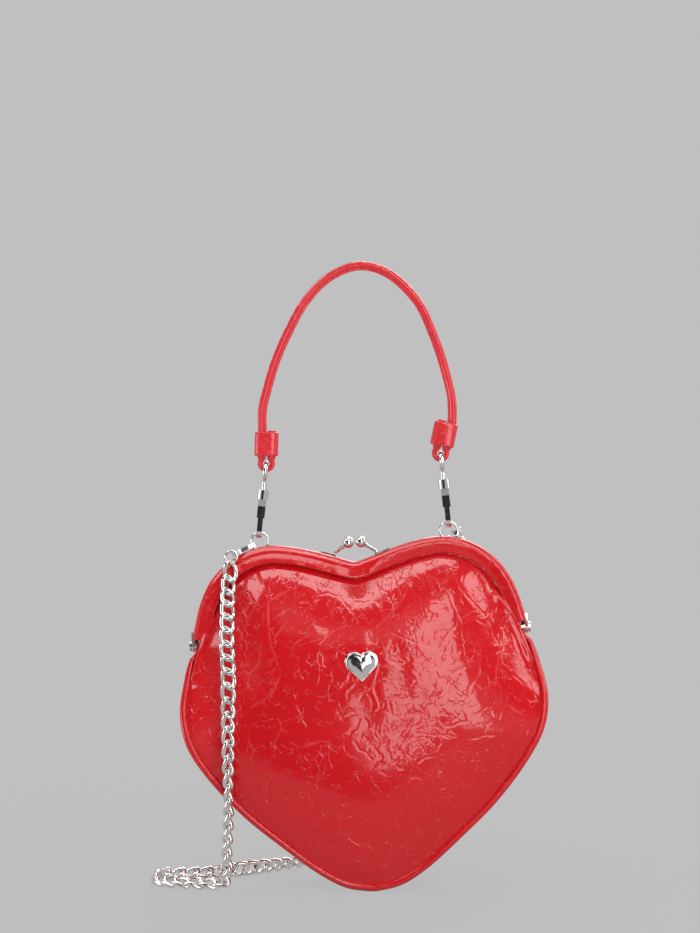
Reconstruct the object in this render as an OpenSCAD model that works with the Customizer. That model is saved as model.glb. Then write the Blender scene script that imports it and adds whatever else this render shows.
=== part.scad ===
// Heart shaped kiss-lock purse: two leather panels and a gusset on a hinged
// frame, a rolled top handle on swivel snap hooks, and a shoulder chain.
// The bag hangs from the top of its handle, which is the origin, and leans a
// little sideways because the hand or hook holds the handle off its middle.

/* [Bag body] */
// Width of the bag at its widest
bag_w = 200; // [160:1:260]
// Height from the tip of the heart to the tops of its lobes
bag_h = 188.2; // [150:0.1:240]
// Greatest depth over both panels
bag_d = 68; // [50:1:100]
// Width of the gusset along the bottom
gusset_w = 48; // [30:1:64]
// Width of the gusset at the hinges
mouth_w = 10; // [7:0.5:16]
// Thickness of the panel leather with its padding
panel_t = 1.6; // [1:0.1:3]
// Thickness of the gusset leather
gusset_t = 1.5; // [1:0.1:3]
// Thickness of the lining
lining_t = 0.8; // [0.4:0.1:1.4]
// Diameter of the piping round the seams
piping_d = 4.4; // [3:0.1:6]
// Distance in from the edge over which a panel rises to its full depth
crown_w = 48; // [30:1:60]

/* [Frame] */
// Height of the frame's band, seen from the front
band_h = 8.8; // [7:0.1:12]
// Depth of each half of the frame
half_d = 7; // [5:0.1:10]
// Gap between the closed halves
mouth_gap = 0.4; // [0.2:0.1:1]
// Thickness of the frame's metal
frame_t = 1; // [0.8:0.1:1.6]
// Thickness of the leather over the frame
cover_t = 1; // [0.6:0.1:1.6]
// Height of the frame from its side hinges to its top
hinge_drop = 52.2; // [40:0.1:64]
// Radius of the hinge lugs
lug_r = 3.4; // [2.8:0.1:4]
// Radius of the hinge rivets
rivet_r = 1.2; // [1:0.1:1.6]
// Radius of the rivet heads
rivet_head_r = 2.9; // [2:0.1:3.2]
// Thickness of the rivet heads
rivet_head_t = 1.3; // [0.8:0.1:2]

/* [Kiss lock] */
// Diameter of each clasp ball
ball_d = 6.3; // [5:0.1:7]
// Gap between the two balls
ball_gap = 0.6; // [0.3:0.1:1]
// Height of the balls above the dip in the frame
ball_rise = 11; // [9:0.1:14]
// Distance from the middle to the inner end of a clasp plate
plate_in = 10.6; // [9:0.1:12]
// Length of a clasp plate
plate_l = 8.2; // [6:0.1:10]
// Width of a clasp plate
plate_w = 4.2; // [3:0.1:5]
// Thickness of a clasp plate
plate_t = 0.9; // [0.6:0.1:1.4]
// Radius of the rod that carries a ball
arm_r = 0.9; // [0.7:0.1:1.2]
// Radius of the collar under a ball
arm_collar_r = 1.45; // [1.2:0.1:1.9]

/* [Badge] */
// Width of the plain heart stud on the front
badge_w = 18; // [12:1:26]
// Thickness of the stud
badge_t = 2.4; // [1.6:0.1:4]
// Height of the stud above the tip, as a share of the bag's height
badge_share = 0.664; // [0.5:0.001:0.72]

/* [Rings] */
// Distance of each ring from the middle, as a share of half the bag's width
ring_share = 0.518; // [0.45:0.001:0.58]
// Radius of a ring to the middle of its wire
ring_r = 4.75; // [4.2:0.05:6]
// Radius of the ring's wire
ring_wire_r = 0.65; // [0.5:0.05:0.8]
// Depth of the ear that carries a ring, below the top of the bag
ear_drop = 1.95; // [1.4:0.05:3]
// Thickness of the ear
ear_t = 1; // [0.8:0.1:1.4]
// Radius of the ear's round end
ear_r = 2.1; // [1.7:0.1:2.3]
// Length of the slot in the frame round a ring
slot_l = 13; // [12:0.5:16]
// Depth of the slot, front to back
slot_w = 4.8; // [4.4:0.1:5.6]

/* [Handle] */
// Half of the handle's span, as a share of half the bag's width
arch_share = 0.52; // [0.44:0.01:0.6]
// Height of the handle's arch above its collars
arch_h = 94.6; // [70:0.1:130]
// Height of the collars' middles above the thongs' loops
collar_rise = 13.75; // [12:0.05:18]
// Diameter of the rolled leather
roll_d = 5; // [4:0.1:6]
// Distance between the two strands inside a collar
strand_gap = 5.4; // [5.2:0.1:7]
// Height of a collar
collar_l = 13; // [10:0.5:18]
// Thickness of the collar's leather
collar_t = 1; // [0.6:0.1:1.4]
// Radius of the leather thong that loops through a hook's eye
thong_r = 1.5; // [1.2:0.1:1.8]
// Lean of the left collar
tilt_left = 5; // [0:1:12]
// Lean of the right collar
tilt_right = 15; // [0:1:18]

/* [Snap hooks] */
// Height from the top of a ring to the loop of the thong
hook_rise = 34.5; // [33.5:0.1:36]
// Lean of the left hook
lean_left = 9; // [0:0.5:12]
// Lean of the right hook
lean_right = 3; // [0:0.5:12]
// Radius of the hook's eye to the middle of its wire
eye_r = 4.6; // [4.4:0.1:5.4]
// Radius of the eye's wire
eye_wire_r = 1.3; // [1:0.1:1.5]
// Radius of the barrel that the eye turns in
barrel_r = 3.1; // [2.8:0.1:3.6]
// Length of the barrel
barrel_l = 4.8; // [4.2:0.1:6]
// Radius of the stem under the eye
stem_r = 1.2; // [1:0.05:1.3]
// Inner radius of the claw
claw_r = 3; // [2.8:0.1:3.4]
// Thickness of the claw, across its bend
claw_t = 1.5; // [1.2:0.1:1.8]
// Width of the hook, seen from the front
hook_w = 4.2; // [3.6:0.1:5]
// Width of the claw, seen from the front
claw_w = 2.8; // [2.4:0.1:3.6]
// Width of the lever
lever_w = 1.8; // [1.4:0.1:2]
// Radius of the lever's pin
pin_r = 0.6; // [0.5:0.05:0.7]

/* [Shoulder chain] */
// Width of the chain
chain_d = 7; // [5:0.5:8]
// Radius of the small rings at the chain's ends
link_ring_r = 3.2; // [2.8:0.1:3.6]
// Radius of their wire
link_ring_wire_r = 0.7; // [0.5:0.05:0.8]
// Length of the chain's clasps from the ring to their eyes
clasp_l = 12.8; // [11:0.1:15]
// Width of a chain clasp
clasp_w = 6; // [5:0.1:7]
// Thickness of a chain clasp
clasp_t = 2.2; // [2:0.1:3]
// Wall of a chain clasp's claw
clasp_wall = 1.1; // [0.9:0.1:1.3]

/* [Hanging] */
// Lean of the bag as it hangs from the handle
hang_tilt = 3.3; // [0:0.1:5]

/* [Hidden] */
$fn = 48;

// Fits: a seat that stays clear, a running fit, the room inside the frame, and how far a
// cut runs over
seat_gap = 0.3;
run_gap = 0.06;
clear_in = 0.4;
over = 1;

half_w = bag_w / 2;
hinge_h = bag_h - hinge_drop;
badge_z = badge_share * bag_h;
ring_x = ring_share * half_w;
ear_h = bag_h - ear_drop;
arch_w = arch_share * half_w;
ring_z = ear_h + ring_r;
ring_top_z = ring_z + ring_r;
collar_h = ring_top_z + hook_rise + collar_rise;
grip_share = 0.217;
grip_x = grip_share * arch_w;
grip_z = collar_h + arch_h;

// The heart's lower outline from hinge to tip, as shares of half its width and of the
// hinges' height
body_shares = [
    [0.936, 0.9673], [0.965, 0.8829], [0.998, 0.7431], [0.965, 0.6103], [0.855, 0.4747],
    [0.68, 0.3238], [0.478, 0.191], [0.3, 0.0844], [0.15, 0.0208], [0, 0]
];
// The frame's outline from the dip to the hinge, as shares of half the width and of the
// frame's own height
frame_shares = [
    [0, 0.7765], [0.11, 0.8468], [0.24, 0.9272], [0.37, 0.9845], [0.48, 1],
    [0.59, 0.9578], [0.7, 0.8486], [0.795, 0.6744], [0.863, 0.4311], [0.9, 0.1917],
    [0.915, 0.0767]
];
// The handle's arch from the left collar to the right one, as shares of its span and height
arch_shares = [
    [-0.89, 0.193], [-0.831, 0.308], [-0.719, 0.478], [-0.563, 0.647], [-0.367, 0.815],
    [-0.1, 0.946], [0.217, 1], [0.527, 0.941], [0.802, 0.778], [0.94, 0.599],
    [1.033, 0.423], [1.098, 0.246], [1.108, 0.17]
];

// The chain's route from its left ring over the front to the surface it lies on,
// round behind the bag and up to the right ring, in the row's own millimetres
chain_route = [
    [-70, -10.8, -163.5], [-70, -10.8, -167], [-71, -13, -175], [-71, -18, -183], [-71, -23, -193],
    [-71, -28, -205], [-70, -33, -220], [-70, -35.5, -234], [-70, -36, -256], [-70, -34.5, -277],
    [-70, -32, -299], [-71, -29, -316], [-71, -26, -327], [-74, -22, -334], [-84, -19, -335],
    [-94, -17, -335], [-102, -13, -335], [-108, -6, -335], [-111, 2, -335], [-107, 9, -335],
    [-96, 12, -335], [-82, 15, -335], [-67, 25, -335], [-52, 36, -335], [-38, 47, -335],
    [-25, 57, -335], [-13, 70, -335], [-5, 85, -335], [7, 94, -335], [19, 89, -335],
    [25, 74, -335], [27, 58, -330], [30, 48, -317], [35, 44, -297], [41, 42, -270],
    [46, 41, -240], [51, 38, -210], [55, 31, -184], [56, 22, -165], [55.5, 17.5, -156],
    [55, 16.5, -151.2]
];

function unit(v) = v / norm(v);
function last(list) = list[len(list) - 1];
function reversed(list) = [for (i = [len(list) - 1:-1:0]) list[i]];
function clamp01(t) = min(max(t, 0), 1);
function ease(t) = let (c = clamp01(t)) c * c * (3 - 2 * c);
function eased_curve(a, b, c, d, t) =
    0.5 * (2 * b + (c - a) * t + (2 * a - 5 * b + 4 * c - d) * t * t
        + (3 * b - a - 3 * c + d) * t * t * t);
// A smooth curve through the points, with this many steps between neighbours
function smooth(pts, steps) = concat(
    [for (i = [0:len(pts) - 2]) for (k = [0:steps - 1])
        eased_curve(pts[max(i - 1, 0)], pts[i], pts[i + 1], pts[min(i + 2, len(pts) - 1)],
            k / steps)],
    [last(pts)]);
// Points from shares of half the width and of a height that starts at a level
function scaled(shares, level, height) =
    [for (s = shares) [s[0] * half_w, level + s[1] * height]];
function mirrored(pts) = [for (p = pts) [-p[0], p[1]]];
// A closed or open half outline joined to its mirror image, left side first
function both_sides(half) =
    concat(reversed(mirrored(half)), [for (i = [1:len(half) - 1]) half[i]]);

outline_steps = 3;
frame_half = smooth(scaled(frame_shares, hinge_h, hinge_drop), outline_steps);
frame_path = both_sides(frame_half);
body_half = reversed(smooth(scaled(body_shares, 0, hinge_h), outline_steps));
body_path = both_sides(body_half);

// Moves a path sideways: to its right as it runs for a positive distance
function path_normal(path, i) =
    let (t = unit(path[min(i + 1, len(path) - 1)] - path[max(i - 1, 0)])) [t[1], -t[0]];
function offset_path(path, d) =
    [for (i = [0:len(path) - 1]) path[i] + d * path_normal(path, i)];

module band(path, d0, d1) {
    polygon(concat(offset_path(path, d0), reversed(offset_path(path, d1))));
}
// Stands a flat shape up in the XZ plane, between two depths
module upright(y0, y1) {
    translate([0, y1, 0]) rotate([90, 0, 0]) linear_extrude(height = y1 - y0) children();
}
// The whole bag leans about the point that holds it, which is the origin
module hung() {
    rotate([0, -hang_tilt, 0]) translate([-grip_x, 0, -grip_z]) children();
}
module box_between(low, high) {
    translate(low) cube(high - low);
}
module rod(from, to, r) {
    d = to - from;
    l = norm(d);
    translate(from) rotate([0, acos(d[2] / l), atan2(d[1], d[0])]) cylinder(h = l, r = r);
}
module torus(mean_r, wire_r) {
    rotate_extrude() translate([mean_r, 0]) circle(r = wire_r, $fn = 32);
}
// Puts a shape at a point, with its own X and Z turned to these directions
module aimed(point, x_dir, z_dir) {
    z = unit(z_dir);
    x = unit(x_dir - z * (x_dir * z));
    y = cross(z, x);
    multmatrix([
        [x[0], y[0], z[0], point[0]], [x[1], y[1], z[1], point[1]],
        [x[2], y[2], z[2], point[2]], [0, 0, 0, 1]
    ]) children();
}

// A round tube along a path, as one closed mesh
function carried(side, t) = unit(side - t * (side * t));
function tube_tangents(pts) =
    [for (i = [0:len(pts) - 1]) unit(pts[min(i + 1, len(pts) - 1)] - pts[max(i - 1, 0)])];
function tube_sides(tans, first) =
    [for (i = 0, s = carried(first, tans[0]); i < len(tans);
        i = i + 1, s = i < len(tans) ? carried(s, tans[i]) : s) s];
function ring_round(point, t, side, r, n) =
    let (other = cross(t, side))
    [for (k = [0:n - 1]) point + r * (cos(360 * k / n) * side + sin(360 * k / n) * other)];
module sweep_rings(rings) {
    n = len(rings[0]);
    m = len(rings);
    points = [for (ring = rings) for (p = ring) p];
    sides = [for (i = [0:m - 2]) for (k = [0:n - 1])
        let (a = i * n + k, b = i * n + (k + 1) % n) each [[a, b, a + n], [b, b + n, a + n]]];
    start = [for (k = [1:n - 2]) [0, k + 1, k]];
    finish = [for (k = [1:n - 2]) [(m - 1) * n, (m - 1) * n + k, (m - 1) * n + k + 1]];
    polyhedron(points = points, faces = [for (f = concat(sides, start, finish)) reversed(f)]);
}
module tube(pts, r, n, first = [0, 1, 0]) {
    tans = tube_tangents(pts);
    sides = tube_sides(tans, first);
    sweep_rings([for (i = [0:len(pts) - 1]) ring_round(pts[i], tans[i], sides[i], r, n)]);
}

// Half of the gusset's width at a height
gusset_rise_share = 0.44;
function gusset_half(z) =
    let (spread = ease((hinge_h - z) / (hinge_h * gusset_rise_share)))
    mouth_w / 2 + (gusset_w - mouth_w) / 2 * spread;
edge_d = half_d - cover_t - frame_t - clear_in;
piping_r = piping_d / 2;
panel_edge = piping_d + 0.2 * frame_t;
function edge_depth(z) =
    let (t = ease((hinge_h + over - z) / (lug_r * 3)))
    edge_d * (1 - t) + max(gusset_half(z) + panel_t / 2, mouth_w / 2) * t;
function nearest(path, p) = min([for (q = path) norm(p - q)]);
crown_power = 2.3;
frame_foot = [last(frame_half)[0], hinge_h - lug_r];
frame_reach = concat(frame_path, between(last(frame_half), frame_foot, 3),
    mirrored(between(last(frame_half), frame_foot, 3)));
// How far a panel's outer face stands from the middle plane
function panel_depth(p) =
    let (
        in_frame = nearest(frame_reach, p) - band_h - clear_in * 3,
        in_body = nearest(body_path, p) - panel_edge,
        u = clamp01(min(in_frame, in_body) / crown_w),
        e = edge_depth(p[1]))
    e + (bag_d / 2 - e) * (1 - pow(1 - u, crown_power));

// The closed edge of a panel: under the frame, past the hinges and inside the piping
lug_clear = lug_r * 3;
notch_in = cover_t + frame_t + rivet_head_t + over;
function between(a, b, n) = [for (k = [1:n]) a + (b - a) * k / n];
function panel_edge_loop(top_in, side_in) =
    let (
        top = [for (i = [0:len(frame_path) - 1])
            if (frame_path[i][1] > hinge_h + lug_clear) frame_path[i]
                + top_in * path_normal(frame_path, i)],
        low = [for (i = [0:len(body_path) - 1])
            if (body_path[i][1] < hinge_h - lug_clear) body_path[i]
                - side_in * path_normal(body_path, i)],
        x = last(frame_half)[0] - notch_in,
        left = between(top[0], [-x, hinge_h], 3))
    concat(top, between(last(top), [x, hinge_h], 3), reversed(low), reversed(left));
low_top_h = hinge_h - lug_clear * 2;
function low_edge_loop(side_in) =
    let (
        low = [for (i = [0:len(body_path) - 1])
            if (body_path[i][1] < low_top_h - side_in) body_path[i]
                - side_in * path_normal(body_path, i)],
        a = last(low)[0],
        top = [for (k = [0:10]) [-a + 2 * a * k / 10, low_top_h]])
    concat(top, reversed(low));

panel_middle_h = 0.56 * bag_h;
// Rings of points from the edge to the middle: first at set distances, then in even steps
rim_shares = [0, 0.8, 1.15, 1.7, 2.5, 3.6];
inner_shares = [0.72, 0.44, 0.16];
function rim_point(b, share, middle) =
    let (d = middle - b, l = norm(d)) b + d * min(share * band_h / l, 0.5);
function inner_point(b, share, middle) =
    let (start = rim_point(b, last(rim_shares), middle)) middle + (start - middle) * share;
function grid_rings(loop, middle) = concat(
    [for (s = rim_shares) [for (b = loop) rim_point(b, s, middle)]],
    [for (s = inner_shares) [for (b = loop) inner_point(b, s, middle)]]);
// A shell between two depths under the panel's outer face; side is -1 at the front
module pillow_shell(loop, side, outer, inner) {
    middle = [0, panel_middle_h];
    rings = grid_rings(loop, middle);
    n = len(loop);
    m = len(rings);
    function face_point(p, into) = [p[0], side * (panel_depth(p) - into), p[1]];
    out = concat([for (ring = rings) for (p = ring) face_point(p, outer)],
        [face_point(middle, outer)]);
    back = concat([for (ring = rings) for (p = ring) face_point(p, inner)],
        [face_point(middle, inner)]);
    count = len(out);
    quads = [for (i = [0:m - 2]) for (k = [0:n - 1])
        let (a = i * n + k, b = i * n + (k + 1) % n) each [[a, b, a + n], [b, b + n, a + n]]];
    cap = [for (k = [0:n - 1]) [(m - 1) * n + k, (m - 1) * n + (k + 1) % n, count - 1]];
    front = concat(quads, cap);
    rear = [for (f = front) [for (i = reversed(f)) i + count]];
    rim = [for (k = [0:n - 1]) let (b = (k + 1) % n)
        each [[k, k + count, b], [b, k + count, b + count]]];
    faces = concat(front, rear, rim);
    polyhedron(points = concat(out, back),
        faces = side < 0 ? faces : [for (f = faces) reversed(f)]);
}

module panel(side) {
    pillow_shell(panel_edge_loop(cover_t + frame_t + clear_in / 2, panel_edge), side, 0, panel_t);
}
lining_in = panel_t + seat_gap * 4;
module front_panel() {
    color("crimson") hung() panel(-1);
}
module back_panel() {
    color("crimson") hung() panel(1);
}
module front_lining() {
    color("dimgray") hung()
        pillow_shell(low_edge_loop(panel_edge + seat_gap * 8), -1, lining_in, lining_in + lining_t);
}
module back_lining() {
    color("dimgray") hung()
        pillow_shell(panel_edge_loop(cover_t + frame_t + clear_in, panel_edge + seat_gap), 1,
            lining_in, lining_in + lining_t);
}

// A strip that follows the lower outline between the two seams
module seam_strip(in0, in1, short) {
    rings = [for (i = [0:len(body_path) - 1])
        let (
            n = path_normal(body_path, i),
            a = body_path[i] - in0 * n,
            b = body_path[i] - in1 * n,
            y = gusset_half(body_path[i][1]) - short)
        [[a[0], -y, a[1]], [a[0], y, a[1]], [b[0], y, b[1]], [b[0], -y, b[1]]]];
    sweep_rings(rings);
}
gusset_in = piping_r - gusset_t / 2;
module gusset() {
    color("firebrick") hung() seam_strip(gusset_in, gusset_in + gusset_t, piping_r + run_gap);
}
module gusset_lining() {
    color("dimgray") hung()
        seam_strip(gusset_in + gusset_t + seat_gap, gusset_in + gusset_t + seat_gap + lining_t,
            piping_r + run_gap);
}
module piping(side) {
    pts = [for (i = [0:len(body_path) - 1])
        let (p = body_path[i] - piping_r * path_normal(body_path, i))
        [p[0], side * gusset_half(body_path[i][1]), p[1]]];
    tube(pts, piping_r, 8);
}
module front_piping() {
    color("firebrick") hung() piping(-1);
}
module back_piping() {
    color("firebrick") hung() piping(1);
}

// One half of the frame: side is -1 at the front and 1 at the back
frame_end = last(frame_half);
plate_x = frame_end[0] - cover_t - frame_t;
outer_plate_x = plate_x + frame_t + seat_gap;
tab_h = hinge_h + lug_r + clear_in;
block_h = 3.4;
module half_depth(side, near, far) {
    if (side < 0) upright(-far, -near) children();
    else upright(near, far) children();
}
module lug(x, side, bore_r) {
    difference() {
        union() {
            translate([x, 0, hinge_h]) rotate([0, 90, 0]) cylinder(h = frame_t, r = lug_r);
            translate([x, 0, 0]) rotate([90, 0, 90]) linear_extrude(height = frame_t)
                polygon([
                    [side * lug_r * 0.95, hinge_h], [side * (half_d - cover_t), tab_h],
                    [side * (half_d - cover_t), tab_h + block_h + clear_in],
                    [side * lug_r * 0.4, tab_h + block_h + clear_in],
                    [side * lug_r * 0.4, hinge_h + lug_r * 0.6]
                ]);
        }
        translate([x - over, 0, hinge_h]) rotate([0, 90, 0])
            cylinder(h = frame_t + 2 * over, r = bore_r);
    }
}
module half_frame(side) {
    half_depth(side, mouth_gap / 2, half_d - cover_t)
        band(frame_path, cover_t, cover_t + frame_t);
    half_depth(side, half_d - cover_t - frame_t, half_d - cover_t)
        band(frame_path, cover_t, band_h);
}
module ring_slots() {
    for (s = [-1, 1])
        box_between([s * ring_x - slot_l / 2, -slot_w / 2, ear_h - ear_r],
            [s * ring_x + slot_l / 2, slot_w / 2, bag_h + over]);
}
module hinge_cut() {
    for (s = [-1, 1]) scale([s, 1, 1])
        box_between([plate_x - band_h, -half_d - over, hinge_h - lug_r - over],
            [half_w, half_d + over, tab_h + block_h]);
}
module front_frame() {
    color("silver") hung() {
        difference() {
            half_frame(-1);
            ring_slots();
            hinge_cut();
        }
        for (s = [0, 1]) mirror([s, 0, 0]) {
            lug(outer_plate_x, -1, rivet_r + run_gap);
            box_between([plate_x, -half_d + cover_t, tab_h],
                [outer_plate_x + frame_t, -lug_r * 0.4, tab_h + block_h + clear_in]);
        }
    }
}
module ear() {
    difference() {
        union() {
            rotate([0, 90, 0]) cylinder(h = ear_t, r = ear_r);
            translate([0, 0, -clear_in]) cube([ear_t, half_d - cover_t - frame_t, frame_t]);
        }
        translate([-over, 0, 0]) rotate([0, 90, 0])
            cylinder(h = ear_t + 2 * over, r = ring_wire_r + seat_gap);
    }
}
module back_frame() {
    color("silver") hung() {
        difference() {
            half_frame(1);
            ring_slots();
            hinge_cut();
        }
        for (s = [0, 1]) mirror([s, 0, 0]) {
            lug(plate_x, 1, rivet_r);
            translate([ring_x - ear_t / 2, 0, ear_h]) ear();
        }
    }
}
module frame_cover(side) {
    difference() {
        union() {
            half_depth(side, mouth_gap / 2, half_d) band(frame_path, 0, cover_t);
            half_depth(side, half_d - cover_t, half_d) band(frame_path, 0, band_h + clear_in);
        }
        ring_slots();
        for (s = [-1, 1]) scale([s, 1, 1])
            box_between([plate_x - clear_in, cover_t - half_d, hinge_h - lug_r - over],
                [half_w, half_d - cover_t, tab_h + block_h + clear_in]);
    }
}
module front_frame_cover() {
    color("crimson") hung() frame_cover(-1);
}
module back_frame_cover() {
    color("crimson") hung() frame_cover(1);
}
module hinge_rivet() {
    translate([0, 0, hinge_h]) rotate([0, 90, 0]) {
        translate([0, 0, plate_x - rivet_head_t]) cylinder(h = rivet_head_t, r = rivet_head_r);
        translate([0, 0, plate_x - over / 2])
            cylinder(h = outer_plate_x - plate_x + frame_t + seat_gap + over, r = rivet_r);
        translate([0, 0, outer_plate_x + frame_t + seat_gap])
            cylinder(h = rivet_head_t, r = rivet_head_r);
    }
}
module hinge_rivet_left() {
    color("gray") hung() mirror([1, 0, 0]) hinge_rivet();
}
module hinge_rivet_right() {
    color("gray") hung() hinge_rivet();
}

// The kiss lock: the front half's arm is on the right, the back half's on the left
ball_r = ball_d / 2;
ball_x = ball_r + ball_gap / 2;
dip_h = frame_half[0][1];
ball_z = dip_h + ball_rise;
plate_y = half_d / 2;
arm_foot_x = plate_in + plate_t;
arm_foot = [arm_foot_x, plate_y, lookup(arm_foot_x, frame_half) + plate_t + arm_r * 0.8];
arm_top = [ball_x, 0, ball_z];
arm_dir = unit(arm_top - arm_foot);
arm_end = arm_top - arm_dir * ball_r * 0.4;
collar_at = arm_top - arm_dir * (ball_r + arm_collar_r * 0.75);
module on_half(side) {
    scale([-side, side, 1]) children();
}
module clasp_arm(side) {
    s = -side;
    intersection() {
        half_depth(side, plate_y - plate_w / 2, plate_y + plate_w / 2)
            band(frame_path, -plate_t, 0);
        box_between([s > 0 ? plate_in : -plate_in - plate_l, -half_d - over, 0],
            [s > 0 ? plate_in + plate_l : -plate_in, half_d + over, bag_h + over]);
    }
    foot = [s * arm_foot[0], side * arm_foot[1], arm_foot[2]];
    top = [s * arm_end[0], side * arm_end[1], arm_end[2]];
    low = [s * collar_at[0], side * collar_at[1], collar_at[2]];
    dir = unit(top - foot);
    rod(foot, top, arm_r);
    translate(foot) sphere(r = arm_r);
    rod(low, low + dir * arm_collar_r * 0.5, arm_collar_r);
}
module clasp_ball(side) {
    s = -side;
    foot = [s * arm_foot[0], side * arm_foot[1], arm_foot[2]];
    top = [s * arm_end[0], side * arm_end[1], arm_end[2]];
    difference() {
        translate([s * ball_x, 0, ball_z]) sphere(r = ball_r);
        rod(foot, top, arm_r);
    }
}
module front_clasp_arm() {
    color("silver") hung() clasp_arm(-1);
}
module front_clasp_ball() {
    color("silver") hung() clasp_ball(-1);
}
module back_clasp_arm() {
    color("silver") hung() clasp_arm(1);
}
module back_clasp_ball() {
    color("silver") hung() clasp_ball(1);
}

// A plain heart stud: two round lobes on the sides of a square that stands on its corner
badge_lobe_r = badge_w / (2 + 2 * sqrt(0.5)) * 0.985;
module badge() {
    y = -max([for (s = [-1, 0, 1]) panel_depth([0, badge_z + s * badge_w / 2])]) - seat_gap;
    s = badge_lobe_r * 2;
    color("silver") hung() translate([0, 0, badge_z]) upright(y - badge_t, y)
        translate([0, -badge_lobe_r * 0.75]) rotate(45) {
            translate([-s / 2, -s / 2]) square(s);
            translate([0, s / 2]) circle(r = badge_lobe_r);
            translate([s / 2, 0]) circle(r = badge_lobe_r);
        }
}

module ring(side) {
    translate([side * ring_x, 0, ring_z]) rotate([90, 0, 0]) torus(ring_r, ring_wire_r);
}
module ring_left() {
    color("silver") hung() ring(-1);
}
module ring_right() {
    color("silver") hung() ring(1);
}

// A hook stands on the top of its ring and leans towards the end of the handle
function lean(side) = side < 0 ? lean_left : -lean_right;
function tilt(side) = side < 0 ? tilt_left : tilt_right;
function hook_l(side) = hook_rise / cos(lean(side));
module at_hook(side) {
    translate([side * ring_x, 0, ring_top_z]) rotate([0, lean(side), 0]) children();
}
// The middle of the thong's loop, on the hook's own axis
loop_r = thong_r + eye_wire_r + 2 * seat_gap;
function loop_at(side) = [
    side * ring_x + (hook_l(side) + loop_r) * sin(lean(side)),
    ring_top_z + (hook_l(side) + loop_r) * cos(lean(side))
];
module at_handle_end(side) {
    translate([loop_at(side)[0], 0, loop_at(side)[1]]) rotate([0, tilt(side), 0]) children();
}

// Heights along a hook, above the middle of the ring's wire
claw_z = claw_r - ring_wire_r - seat_gap * 2.9;
barrel_z = hook_rise - eye_r * 2 - 2 * eye_wire_r - thong_r - 2.6;
head_r = 1.9;
head_t = 1.2;
barrel_floor_t = 1;
pin_z = barrel_z - 7;
pin_y = 0.9;
claw_out = claw_r + claw_t;
shoulder_y = 2.4;
gate_t = 1.6;
mouth_z = claw_z + 0.6;
lever_top = pin_z + 1.5;
module side_plate(w) {
    translate([-w / 2, 0, 0]) rotate([90, 0, 90]) linear_extrude(height = w) children();
}
module claw_shape() {
    difference() {
        union() {
            translate([0, claw_z]) circle(r = claw_out);
            translate([-claw_out, claw_z]) square([claw_t * 1.3, pin_z - claw_z]);
        }
        translate([0, claw_z]) circle(r = claw_r);
        translate([-claw_out + claw_t * 1.3, mouth_z]) square([claw_out * 2, claw_out]);
        translate([-claw_r * 0.86, claw_z]) square([claw_r * 0.86, claw_out]);
    }
}
module body_shape() {
    polygon([
        [-claw_out, pin_z - 3.4], [-claw_out + claw_t * 1.3, pin_z - 3.4], [-0.9, pin_z - 1.6],
        [shoulder_y, pin_z - 1.6], [shoulder_y, barrel_z], [-shoulder_y, barrel_z],
        [-claw_out, pin_z + 3]
    ]);
}
module hook_body(side) {
    at_hook(side) difference() {
        union() {
            side_plate(claw_w) claw_shape();
            side_plate(hook_w) body_shape();
            translate([0, 0, barrel_z - over / 4]) cylinder(h = barrel_l + over / 4, r = barrel_r);
        }
        // slot and bore for the lever, bore for the eye's stem and head
        translate([-lever_w / 2 - seat_gap / 2, -0.9 - seat_gap, pin_z - 3.4])
            cube([lever_w + seat_gap, claw_out * 2, 3.4 + 1.5 + seat_gap * 2]);
        translate([-claw_w, pin_y, pin_z]) rotate([0, 90, 0]) cylinder(h = 2 * claw_w, r = pin_r);
        translate([0, 0, barrel_z + barrel_floor_t - seat_gap])
            cylinder(h = head_t + seat_gap * 2, r = head_r + run_gap * 2);
        translate([0, 0, barrel_z + barrel_floor_t])
            cylinder(h = barrel_l + over, r = stem_r + run_gap);
    }
}
module hook_body_left() {
    color("silver") hung() hook_body(-1);
}
module hook_body_right() {
    color("silver") hung() hook_body(1);
}
module hook_eye(side) {
    eye_c = hook_l(side) + thong_r + seat_gap + eye_wire_r - eye_r;
    at_hook(side) {
        translate([0, 0, eye_c]) rotate([0, 90, 0]) torus(eye_r, eye_wire_r);
        translate([0, 0, barrel_z + barrel_floor_t]) {
            cylinder(h = head_t, r = head_r);
            cylinder(h = eye_c - eye_r - barrel_z - barrel_floor_t, r = stem_r);
        }
    }
}
module hook_eye_left() {
    color("silver") hung() hook_eye(-1);
}
module hook_eye_right() {
    color("silver") hung() hook_eye(1);
}
module hook_lever(side) {
    foot_y = claw_r + claw_t * 0.5;
    foot_z = mouth_z + seat_gap;
    at_hook(side) side_plate(lever_w) difference() {
        union() {
            translate([pin_y, pin_z]) circle(r = 1.45);
            polygon([
                [pin_y - 0.6, pin_z - 1], [foot_y - gate_t * 0.7, foot_z], [foot_y + gate_t * 0.3, foot_z],
                [foot_y + gate_t * 0.75, foot_z + 3.4], [foot_y + gate_t * 0.9, foot_z + 4.6],
                [pin_y + 1.3, pin_z + 0.5]
            ]);
        }
        translate([pin_y, pin_z]) circle(r = pin_r + run_gap);
    }
}
module hook_lever_left() {
    color("silver") hung() hook_lever(-1);
}
module hook_lever_right() {
    color("silver") hung() hook_lever(1);
}
module hook_pin(side) {
    at_hook(side) translate([-hook_w / 2, pin_y, pin_z]) rotate([0, 90, 0])
        cylinder(h = hook_w, r = pin_r);
}
module hook_pin_left() {
    color("gray") hung() hook_pin(-1);
}
module hook_pin_right() {
    color("gray") hung() hook_pin(1);
}

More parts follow.
